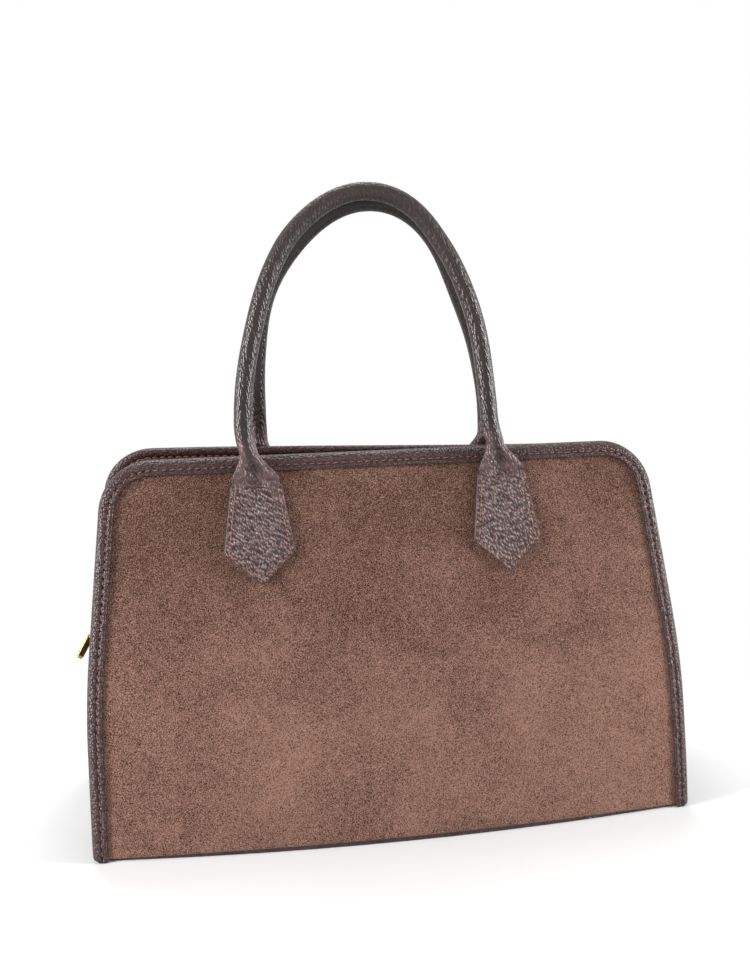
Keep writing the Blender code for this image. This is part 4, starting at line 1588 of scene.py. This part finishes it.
@dataclass(frozen=True)
class Handle:
    """A rolled handle in one run of leather: tab, neck, tube with a sewn keel, neck and tab."""

    face: Face
    spacing: float = 149 * MM
    shift: float = 2.5 * MM
    tip_height: float = 151 * MM
    shoulder_height: float = 169 * MM
    tab_width: float = 41.5 * MM
    tab_top_width: float = 30 * MM
    tab: float = 3.0 * MM
    hinge_height: float = 207 * MM
    neck_length: float = 20 * MM
    clear_share: float = 0.25
    radius: float = 5.4 * MM
    front_top_height: float = 376.5 * MM
    back_top_height: float = 371.5 * MM
    top_y: float = 9 * MM
    front_lean: float = 6.5 * MM
    back_lean: float = -2 * MM
    lean_height: float = 35 * MM
    rise_power: float = 2.15
    span_power: float = 2.06
    notch: float = 1.3 * MM
    notch_rise: float = 0.8 * MM
    notch_width: float = 1.6 * MM
    edge_loss: float = 0.45
    edge_power: int = 40
    valley: float = 2.8 * MM
    valley_width: float = 0.38
    padding: float = 0.35 * MM
    padding_inset: float = 3.2 * MM
    padding_blend: float = 3 * MM
    groove: float = 0.3 * MM
    groove_width: float = 0.8 * MM
    keel_height: float = 1.9 * MM
    keel_half_width: float = 1.7 * MM
    keel_turn: float = math.radians(85)
    keel_turn_blend: float = 30 * MM
    keel_foot: float = 243 * MM
    keel_blend: float = 24 * MM
    seam_proud: float = 0.05 * MM
    rope_radius: float = 3.7 * MM
    rope_lay: float = 9 * MM
    rope_sides: int = 24
    strand_depth: float = 0.14
    tab_step: float = 1.1 * MM
    across: int = 26
    neck_rings: int = 26
    arch_rings: int = 150
    tab_seam: Seam = Seam(pitch=2.9 * MM, length=2.0 * MM, width=0.85 * MM, height=0.7 * MM)
    keel_seam: Seam = Seam(pitch=4.2 * MM, length=3.4 * MM, width=0.7 * MM, height=0.5 * MM, slant=0.0)
    seam_inset: float = 2.8 * MM

    def leg_x(self, at: Side) -> float:
        """The middle of a leg and its tab: the pair sits a little off the bag's middle."""
        return at.value * self.spacing / 2 - self.shift

    @property
    def neck_top(self) -> float:
        """The height at which the neck has become the tube."""
        return self.hinge_height + self.neck_length

    @property
    def side_slope(self) -> float:
        """How much half the tab's width shrinks per metre of height, above its shoulders."""
        return (self.tab_width - self.tab_top_width) / 2 / (self.hinge_height - self.shoulder_height)

    @property
    def tip_fall(self) -> float:
        """How much the tab's lower edges fall per metre towards its tip."""
        return (self.shoulder_height - self.tip_height) / (self.tab_width / 2)

    @property
    def hinge_y(self) -> float:
        """How far the hinge line stands from the middle plane."""
        inner_x = self.leg_x(Side.RIGHT) - self.tab_top_width / 2
        return BODY.half_depth(inner_x, self.hinge_height) + BODY.gap + self.tab / 2

    @property
    def top_height(self) -> float:
        """How high the tube's middle line comes: the back handle has sunk a little."""
        return self.front_top_height if self.face is Face.FRONT else self.back_top_height

    def lean_at(self, z: float) -> float:
        """How far the legs lean to their left at a height, seen from the face they are sewn to.

        Args:
            z: The height.

        Returns:
            The distance.
        """
        lean = self.front_lean if self.face is Face.FRONT else self.back_lean
        lean *= smooth_step((z - self.hinge_height) / self.lean_height)
        return lean + self.face.value * self.sway(z)

    def sway(self, z: float) -> float:
        """How far the soft arch strays to the bag's right at a height, as the photograph shows it.

        Args:
            z: The height.

        Returns:
            The distance.
        """
        if self.face is Face.FRONT:
            middle = smooth_step((z - 255 * MM) / (50 * MM))
            return 1.5 * MM * middle + 3 * MM * smooth_step((z - 345 * MM) / (36 * MM))
        foot = smooth_step((z - self.hinge_height) / self.neck_length)
        return 2.7 * MM * foot * bell(z - 236 * MM, 28 * MM) - 4.2 * MM * bell(z - 320 * MM, 32 * MM)

    def half_wide(self, z: float) -> float:
        """Half the width of tab and neck at a height.

        Args:
            z: The height.

        Returns:
            Half the width.
        """
        if z < self.shoulder_height:
            return self.tab_width / 2 * (z - self.tip_height) / (self.shoulder_height - self.tip_height)
        if z < self.hinge_height:
            share = (z - self.shoulder_height) / (self.hinge_height - self.shoulder_height)
            return (self.tab_width + (self.tab_top_width - self.tab_width) * share) / 2
        rounded = smooth_step((z - self.hinge_height) / self.neck_length)
        notch = self.notch * bell(z - self.hinge_height - self.notch_rise, self.notch_width)
        return self.tab_top_width / 2 + (self.radius - self.tab_top_width / 2) * rounded - notch

    def half_thick(self, z: float) -> float:
        """Half the thickness of tab and neck at a height."""
        rounded = smooth_step((z - self.hinge_height) / self.neck_length)
        return self.tab / 2 + (self.radius - self.tab / 2) * rounded

    def edge_distance(self, across: float, z: float) -> float:
        """How far a point of the tab is from the nearest of its cut edges.

        Args:
            across: The place across the tab, from its middle.
            z: The height.

        Returns:
            The distance.
        """
        slope, fall = self.side_slope, self.tip_fall
        half = self.tab_width / 2 - slope * (z - self.shoulder_height)
        side = (half - abs(across)) / math.hypot(1, slope)
        lower = (z - self.tip_height - fall * abs(across)) / math.hypot(1, fall)
        return min(side, lower)

    def profile(self) -> list[Point]:
        """Shares of the section: how far along its width (1 at the inner side), and front 1 or back -1.

        Returns:
            The shares, all round.
        """
        ends = [0.0, 0.012, 0.035]
        inner = [i / self.across for i in range(2, self.across - 1)]
        shares = ends + inner + [1 - end for end in ends[::-1]]
        return [(share, 1.0) for share in shares] + [(share, -1.0) for share in shares[::-3]]

    def front_swell(self, across: float, z: float) -> float:
        """How far the front strays from the plain section: a valley down the neck, a padded tab.

        Args:
            across: The place across tab or neck, from -1 to 1.
            z: Its height.

        Returns:
            How far it stands out, below zero where it lies in.
        """
        share = (z - self.hinge_height) / self.neck_length
        reach = min(max(share + 0.12, 0.0), 1.0) ** 0.7
        swell = -self.valley * bell(across, self.valley_width) * math.sin(math.pi * reach)
        if share < 0.2:
            distance = self.edge_distance(self.half_wide(z) * across, z)
            padded = self.padding * smooth_step((distance - self.padding_inset) / self.padding_blend)
            sewn = self.groove * bell(distance - self.seam_inset, self.groove_width)
            swell += (padded - sewn) * (1 - smooth_step((z - self.hinge_height + 8 * MM) / (10 * MM)))
        return swell

    def flat_ring(self, z: float, at: Side) -> list[Vector]:
        """A level ring of tab or neck, from the arch's inner side over the front to the outer and back.

        Args:
            z: The height.
            at: The leg.

        Returns:
            The points.
        """
        share = (z - self.hinge_height) / self.neck_length
        rounded = smooth_step(share)
        half_wide, half_thick = self.half_wide(z), self.half_thick(z)
        standoff = BODY.gap + (BODY.binding + BODY.gap) * smooth_step(share / self.clear_share)
        inner_x = self.leg_x(Side.RIGHT) - half_wide
        neck_y = BODY.half_depth(inner_x, max(z, self.hinge_height)) + standoff + half_thick
        centre_x = self.leg_x(at) - self.lean_at(z)
        points = []
        for along, front in self.profile():
            angle = math.pi * along
            across = (1 - 2 * along) * (1 - rounded) + math.cos(angle) * rounded
            edge = 1 - self.edge_loss * abs(1 - 2 * along) ** self.edge_power
            depth = front * (edge * (1 - rounded) + math.sin(angle) * rounded)
            x = centre_x - at.value * half_wide * across
            thick = half_thick * depth + (self.front_swell(across, z) if front > 0 else 0.0)
            tab_y = BODY.half_depth(x, z) + BODY.gap + self.tab / 2
            mix = smooth_step(share / self.clear_share + 0.3)
            y = tab_y + (neck_y - tab_y) * mix + thick
            points.append(Vector((x, -y, z)))
        seam_y = (points[0].y + points[-1].y) / 2
        for offset, _ in self.keel_points(0.0):
            points.append(Vector((points[0].x - at.value * self.seam_proud, seam_y + offset, z)))
        return points

    def keel_points(self, share: float) -> list[Point]:
        """The keel's section, each point as its offset from the middle and how proud it stands.

        Args:
            share: How far the keel has grown, from 0 to 1.

        Returns:
            The points, from back to front.
        """
        half, high = self.keel_half_width * (0.3 + 0.7 * share), self.keel_height * share
        return [
            (half, high * 0.85), (half * 0.75, high), (half * 0.1, high * 0.9),
            (-half * 0.1, high * 0.9), (-half * 0.75, high), (-half, high * 0.85),
        ]

    def arch_point(self, angle: float) -> Vector:
        """A point of the tube's middle line, from the left leg (pi) over the top to the right (0).

        Args:
            angle: The angle.

        Returns:
            The point.
        """
        foot_z = self.neck_top
        inner_x = self.leg_x(Side.RIGHT) - self.radius
        foot_y = BODY.half_depth(inner_x, foot_z) + 2 * BODY.gap + BODY.binding + self.radius
        rise = self.top_height - foot_z
        across = math.copysign(abs(math.cos(angle)) ** (2 / self.span_power), math.cos(angle))
        up = abs(math.sin(angle)) ** (2 / self.rise_power)
        z = foot_z + rise * up
        x = self.spacing / 2 * across - self.shift - self.lean_at(z)
        return Vector((x, -(foot_y + (self.top_y - foot_y) * up), z))

    def middle_line(self, count: int) -> list[Vector]:
        """The tube's middle line, from the left leg to the right, in this many steps."""
        return [self.arch_point(math.pi * (1 - i / count)) for i in range(count + 1)]

    def tube_axes(self, path: Sequence[Vector], i: int) -> tuple[Vector, Vector]:
        """The tube's two cross directions at a point of its middle line.

        Args:
            path: The middle line.
            i: The point's place in it.

        Returns:
            The way that the keel points, and the way square to it that was the front's. At the feet
            the seam is on the arch's inner side. Above them it turns to face the other handle.
        """
        along = (path[min(i + 1, len(path) - 1)] - path[max(i - 1, 0)]).normalized()
        inner = along.cross(Vector((0, -1, 0))).normalized()
        front = inner.cross(along).normalized()
        turn = self.keel_turn * smooth_step((path[i].z - self.neck_top) / self.keel_turn_blend)
        cos, sin = math.cos(turn), math.sin(turn)
        return inner * cos - front * sin, front * cos + inner * sin

    def tube_ring(self, path: Sequence[Vector], i: int) -> list[Vector]:
        """A ring of the tube, square to its middle line, with its keel.

        Args:
            path: The middle line.
            i: The ring's place in it.

        Returns:
            The points.
        """
        inner, front = self.tube_axes(path, i)
        grown = smooth_step((path[i].z - self.keel_foot) / self.keel_blend)
        point, points = path[i], []
        for share, side in self.profile():
            angle = math.pi * share
            points.append(point + (inner * math.cos(angle) + front * side * math.sin(angle)) * self.radius)
        for offset, proud in self.keel_points(grown):
            points.append(point + inner * (self.radius + self.seam_proud + proud) - front * offset)
        return points

    def tab_heights(self) -> list[float]:
        """The heights of the tab's rings.

        Returns:
            The heights, from the tip up.
        """
        low, high = self.tip_height + 0.25 * MM, self.hinge_height - 0.4 * MM
        count = round((high - low) / self.tab_step)
        return [low + (high - low) * i / count for i in range(count + 1)]

    def rings(self) -> list[list[Vector]]:
        """All rings from the left tab's tip over the arch to the right tab's tip.

        Returns:
            The rings.
        """
        neck = [(i + 0.5) / self.neck_rings for i in range(self.neck_rings - 1)]
        heights = self.tab_heights() + [self.hinge_height + self.neck_length * share for share in neck]
        path = self.middle_line(self.arch_rings)
        made = [self.flat_ring(z, Side.LEFT) for z in heights]
        made += [self.tube_ring(path, i) for i in range(len(path))]
        return made + [self.flat_ring(z, Side.RIGHT) for z in heights[::-1]]

    def finish_at(self, from_end: int, column: int) -> int:
        """A face's finish: 0 on the grain side, 1 on the tabs' cut edges and 2 on the keel.

        Args:
            from_end: How many rows lie between the face and the nearer tip.
            column: Its place round the section.

        Returns:
            The finish's number.
        """
        turn = sum(front > 0 for _, front in self.profile())
        keel = len(self.profile())
        if from_end < len(self.tab_heights()):
            return int(column in (0, turn - 2, turn - 1) or column >= keel - 1)
        return 2 if column >= keel - 1 else 0

    def turned(self, bm: bmesh.types.BMesh) -> bmesh.types.BMesh:
        """Turns the front handle's mesh half a turn about the bag's middle for the back one.

        Args:
            bm: The mesh.

        Returns:
            The same mesh.
        """
        if self.face is Face.BACK:
            bmesh.ops.rotate(bm, cent=(0, 0, 0), matrix=Matrix.Rotation(math.pi, 3, "Z"), verts=bm.verts)
        return bm

    def build(self) -> None:
        """Makes the leather in one piece, over the hinge line from tab to tube, and its seams."""
        word = self.face.word
        rings = self.rings()
        last = len(rings) - 2
        bm = loft(rings, finish_at=lambda row, column: self.finish_at(min(row, last - row), column))
        handle = piece(
            f"{word}_rolled_handle", self.turned(bm), [HANDLE_LEATHER, CUT_EDGE, KEEL_EDGE], "",
            [f"{word}_handle_cover", f"{word}_left_tab", f"{word}_right_tab"], sharp=60,
        )
        self.mark_calm(handle.data)
        y = self.face.value * self.hinge_y
        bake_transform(handle)
        self.sew_tabs()
        self.sew_keel()
        self.lay_rope()

    def lay_rope(self) -> None:
        """The rope that the tube is rolled round: three strands, laid into one."""
        path = self.middle_line(self.arch_rings)
        rings, run = [], 0.0
        for i in range(2, self.arch_rings - 1):
            run += (path[i] - path[i - 1]).length
            inner, front = self.tube_axes(path, i)
            ring = []
            for k in range(self.rope_sides):
                angle = 2 * math.pi * k / self.rope_sides
                strand = abs(math.cos(1.5 * angle + run / self.rope_lay))
                radius = self.rope_radius * (1 - self.strand_depth + self.strand_depth * strand)
                ring.append(path[i] + (inner * math.cos(angle) + front * math.sin(angle)) * radius)
            rings.append(ring)
        word = self.face.word
        piece(f"{word}_handle_rope", self.turned(loft(rings)), [ROPE], f"{word}_handle",
              [f"{word}_handle_core"])

    def mark_calm(self, mesh: bpy.types.Mesh) -> None:
        """Marks necks and tube, where the leather is drawn smooth and its colour gets painted sheen on the
        necks and painted shade on the tube, and the valley down their front, which gets painted shade.

        Args:
            mesh: The handle's mesh.
        """
        calm = mesh.attributes.new("calm", "FLOAT", "POINT")
        valley = mesh.attributes.new("valley", "FLOAT", "POINT")
        for vert, drawn, dark in zip(mesh.vertices, calm.data, valley.data):
            above = vert.co.z - self.hinge_height
            neck = smooth_step((above + 8 * MM) / (14 * MM))
            tube = smooth_step((above - 14 * MM) / (20 * MM))
            drawn.value = 0.65 * neck + 0.35 * tube
            # The valley mark lays painted shade down the middle of the necks and lower legs.
            dark.value = self.valley_at(vert.co * -self.face.value)

    def valley_at(self, place: Vector) -> float:
        """How deep in the valley a point lies, 0 to 1, with the back handle turned like the front one.

        Args:
            place: The point.

        Returns:
            The depth.
        """
        z = abs(place.z)
        rise = min(max((z - self.neck_top) / (self.top_height - self.neck_top), 0.0), 1.0)
        leg = self.spacing / 2 * (1 - rise ** self.rise_power) ** (1 / self.span_power)
        aside = abs(abs(place.x + self.shift + self.lean_at(z)) - leg)
        begun = smooth_step((z - self.hinge_height - 2 * MM) / (8 * MM))
        faded = smooth_step((z - 245 * MM) / (60 * MM))
        return bell(aside / self.half_wide(min(z, self.neck_top)), 0.42) * begun * (1 - faded)

    def sew_tabs(self) -> None:
        """Sews round each tab, a little inside its cut edges."""
        slope, fall = self.side_slope, self.tip_fall
        head = self.hinge_height - 3 * MM
        low = self.tip_height + self.seam_inset * math.hypot(1, fall)
        edge = self.tab_width / 2 - self.seam_inset * math.hypot(1, slope)
        corner_z = low + fall * min((self.shoulder_height - low) / fall, edge)
        corner_x = edge - slope * (corner_z - self.shoulder_height)
        head_x = edge - slope * (head - self.shoulder_height)
        corners = [(-head_x, head), (-corner_x, corner_z), (0.0, low), (corner_x, corner_z), (head_x, head)]
        bm, steps = bmesh.new(), 12
        for at in Side:
            for start, end in zip(corners, corners[1:]):
                points = []
                for i in range(steps + 1):
                    x = self.leg_x(at) + start[0] + (end[0] - start[0]) * i / steps
                    z = start[1] + (end[1] - start[1]) * i / steps
                    high = BODY.half_depth(x, z) + BODY.gap + self.tab
                    points.append(Vector((x, -high + 0.1 * MM, z)))
                ups = [Vector((0, -1, 0.2)).normalized()] * len(points)
                self.tab_seam.sew(bm, self.tab_seam.along_path(points, ups))
        piece(f"{self.face.word}_tab_stitches", self.turned(bm), [RUST_THREAD], "bag", ())

    def sew_keel(self) -> None:
        """Sews through the keel, close to the tube, on both of its sides."""
        path = self.middle_line(160)
        reach = self.radius + self.keel_height * 0.45
        bm = bmesh.new()
        for side in (-1, 1):
            points, ups = [], []
            for i in range(1, len(path) - 1):
                if path[i].z < self.keel_foot + 20 * MM:
                    continue
                inner, front = self.tube_axes(path, i)
                aside = front * side * (self.keel_half_width - self.seam_proud)
                points.append(path[i] + inner * reach + aside)
                ups.append(front * side)
            self.keel_seam.sew(bm, self.keel_seam.along_path(points, ups))
        word = self.face.word
        piece(f"{word}_keel_stitches", self.turned(bm), [BROWN_THREAD], f"{word}_handle", ())


@dataclass(frozen=True)
class InnerParts:
    """The base and the layers inside, which keep their solids and get their finishes."""

    def finishes(self) -> dict[str, Finish]:
        """The finish of each node that stays.

        Returns:
            The finishes by the node's name.
        """
        return {
            "base_panel": BAND_LEATHER,
            "base_board": BOARD, "front_stiffener": BOARD, "back_stiffener": BOARD,
            "front_lining": LINING, "back_lining": LINING, "side_lining": LINING,
        }

    def dress(self) -> None:
        """Puts each node's finish in its material slots."""
        for name, finish in self.finishes().items():
            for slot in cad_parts[name].material_slots:
                slot.material = finish.material()
            LOG.info("%s: %s", name, finish.name)


@dataclass(frozen=True)
class Lamp:
    """A soft box that looks at the bag."""

    name: str
    place: tuple[float, float, float]
    size: Point
    power: float
    aim: tuple[float, float, float] = (0.0, 0.0, 0.15)

    def hang(self) -> None:
        """Hangs the lamp and turns it to its aim."""
        light = bpy.data.lights.new(self.name, "AREA")
        light.shape = "RECTANGLE"
        light.size, light.size_y = self.size
        light.energy = self.power
        made = bpy.data.objects.new(self.name, light)
        made.location = self.place
        made.rotation_euler = (Vector(self.aim) - Vector(self.place)).to_track_quat("-Z", "Y").to_euler()
        bpy.context.scene.collection.objects.link(made)


@dataclass(frozen=True)
class Studio:
    """White floor, white surroundings, soft boxes and the camera of the photograph."""

    eye: tuple[float, float, float] = (-0.11428, -0.69127, 0.31606)
    right: tuple[float, float, float] = (0.98611166, -0.16479997, -0.02060993)
    up: tuple[float, float, float] = (0.04695818, 0.15762596, 0.98637177)
    forward: tuple[float, float, float] = (0.15930702, 0.97365036, -0.1631755)
    lens: float = 42.349
    fill_strength: float = 0.4
    floor_grey: float = 0.81
    floor_fade: Point = (0.2, 0.38)
    lamps: tuple[Lamp, ...] = (
        Lamp("overhead_box", (0.0, 0.5, 1.25), (0.8, 0.4), 9.5),
        Lamp("left_box", (-1.2, -0.35, 0.45), (0.3, 0.9), 22.5),
        Lamp("right_box", (1.25, -0.35, 0.45), (0.3, 0.9), 21.0),
    )

    def background_rays(self, tree: Tree) -> Socket:
        """One where a ray shows the surroundings: from the camera, or mirrored or let through.

        Args:
            tree: The tree that gets the nodes.

        Returns:
            The value.
        """
        path = add_node(tree.nodes, "ShaderNodeLightPath", {}, {}).outputs
        seen = tree.maths("ADD", path["Is Camera Ray"], path["Is Glossy Ray"], clamp=True)
        return tree.maths("ADD", seen, path["Is Transmission Ray"], clamp=True)

    def build_world(self) -> None:
        """White to look at, and a weaker even fill on the bag."""
        world = bpy.data.worlds.new("white_surroundings")
        world.use_nodes = True
        tree = Tree(world.node_tree, world.node_tree.nodes["Background"])
        tree.fix({"Color": (1.0, 1.0, 1.0, 1.0)})
        tree.link("Strength", tree.ramp(self.background_rays(tree), to=(self.fill_strength, 1.0)))
        bpy.context.scene.world = world

    def build_floor(self) -> None:
        """A white floor that keeps the bag's shadow and is otherwise as white as its surroundings."""
        bm = bmesh.new()
        bmesh.ops.create_grid(bm, x_segments=1, y_segments=1, size=4)
        mesh = bpy.data.meshes.new("studio_floor")
        bm.to_mesh(mesh)
        bm.free()
        material = bpy.data.materials.new("white_floor")
        material.use_nodes = True
        nodes = material.node_tree
        tree = Tree(nodes, nodes.nodes["Principled BSDF"])
        grey = self.floor_grey
        tree.fix({"Base Color": (grey, grey, grey, 1.0), "Roughness": 0.9, "Specular IOR Level": 0.0})
        away = add_node(nodes, "ShaderNodeVectorMath", {"operation": "LENGTH"}, {0: tree.place()})
        fade = tree.ramp(away.outputs["Value"], self.floor_fade, smooth=True)
        share = tree.maths("MULTIPLY", fade, self.background_rays(tree))
        far = add_node(nodes, "ShaderNodeEmission", {}, {})
        both = add_node(nodes, "ShaderNodeMixShader", {}, {
            0: share, 1: tree.shader.outputs[0], 2: far.outputs[0],
        })
        nodes.links.new(both.outputs[0], nodes.nodes["Material Output"].inputs["Surface"])
        mesh.materials.append(material)
        floor = bpy.data.objects.new("studio_floor", mesh)
        bpy.context.scene.collection.objects.link(floor)

    def build_camera(self) -> None:
        """The camera stands where the photograph was taken from."""
        data = bpy.data.cameras.new("photo_camera")
        data.lens = self.lens
        data.sensor_width = 36.0
        data.clip_start, data.clip_end = 0.01, 20.0
        made = bpy.data.objects.new("photo_camera", data)
        backward = -Vector(self.forward)
        turn = Matrix((Vector(self.right), Vector(self.up), backward)).transposed().to_4x4()
        made.matrix_world = Matrix.Translation(Vector(self.eye)) @ turn
        bpy.context.scene.collection.objects.link(made)
        bpy.context.scene.camera = made

    def build(self) -> None:
        """Sets up camera, floor, surroundings and lamps."""
        self.build_camera()
        self.build_floor()
        self.build_world()
        for lamp in self.lamps:
            lamp.hang()
        bpy.context.scene.view_settings.view_transform = "Standard"


def main() -> None:
    """Builds the studio and every piece."""
    logging.basicConfig(level=logging.INFO, format="%(name)s %(message)s")
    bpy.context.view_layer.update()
    Studio().build()
    for face in Face:
        SuedeFace(face).build()
        Binding(face).build()
    Band().build()
    ZipFastener().build()
    slider = Slider()
    slider.build()
    Pull(slider).build()
    for face in Face:
        Handle(face).build()
    InnerParts().dress()


if __name__ == "__main__":
    main()
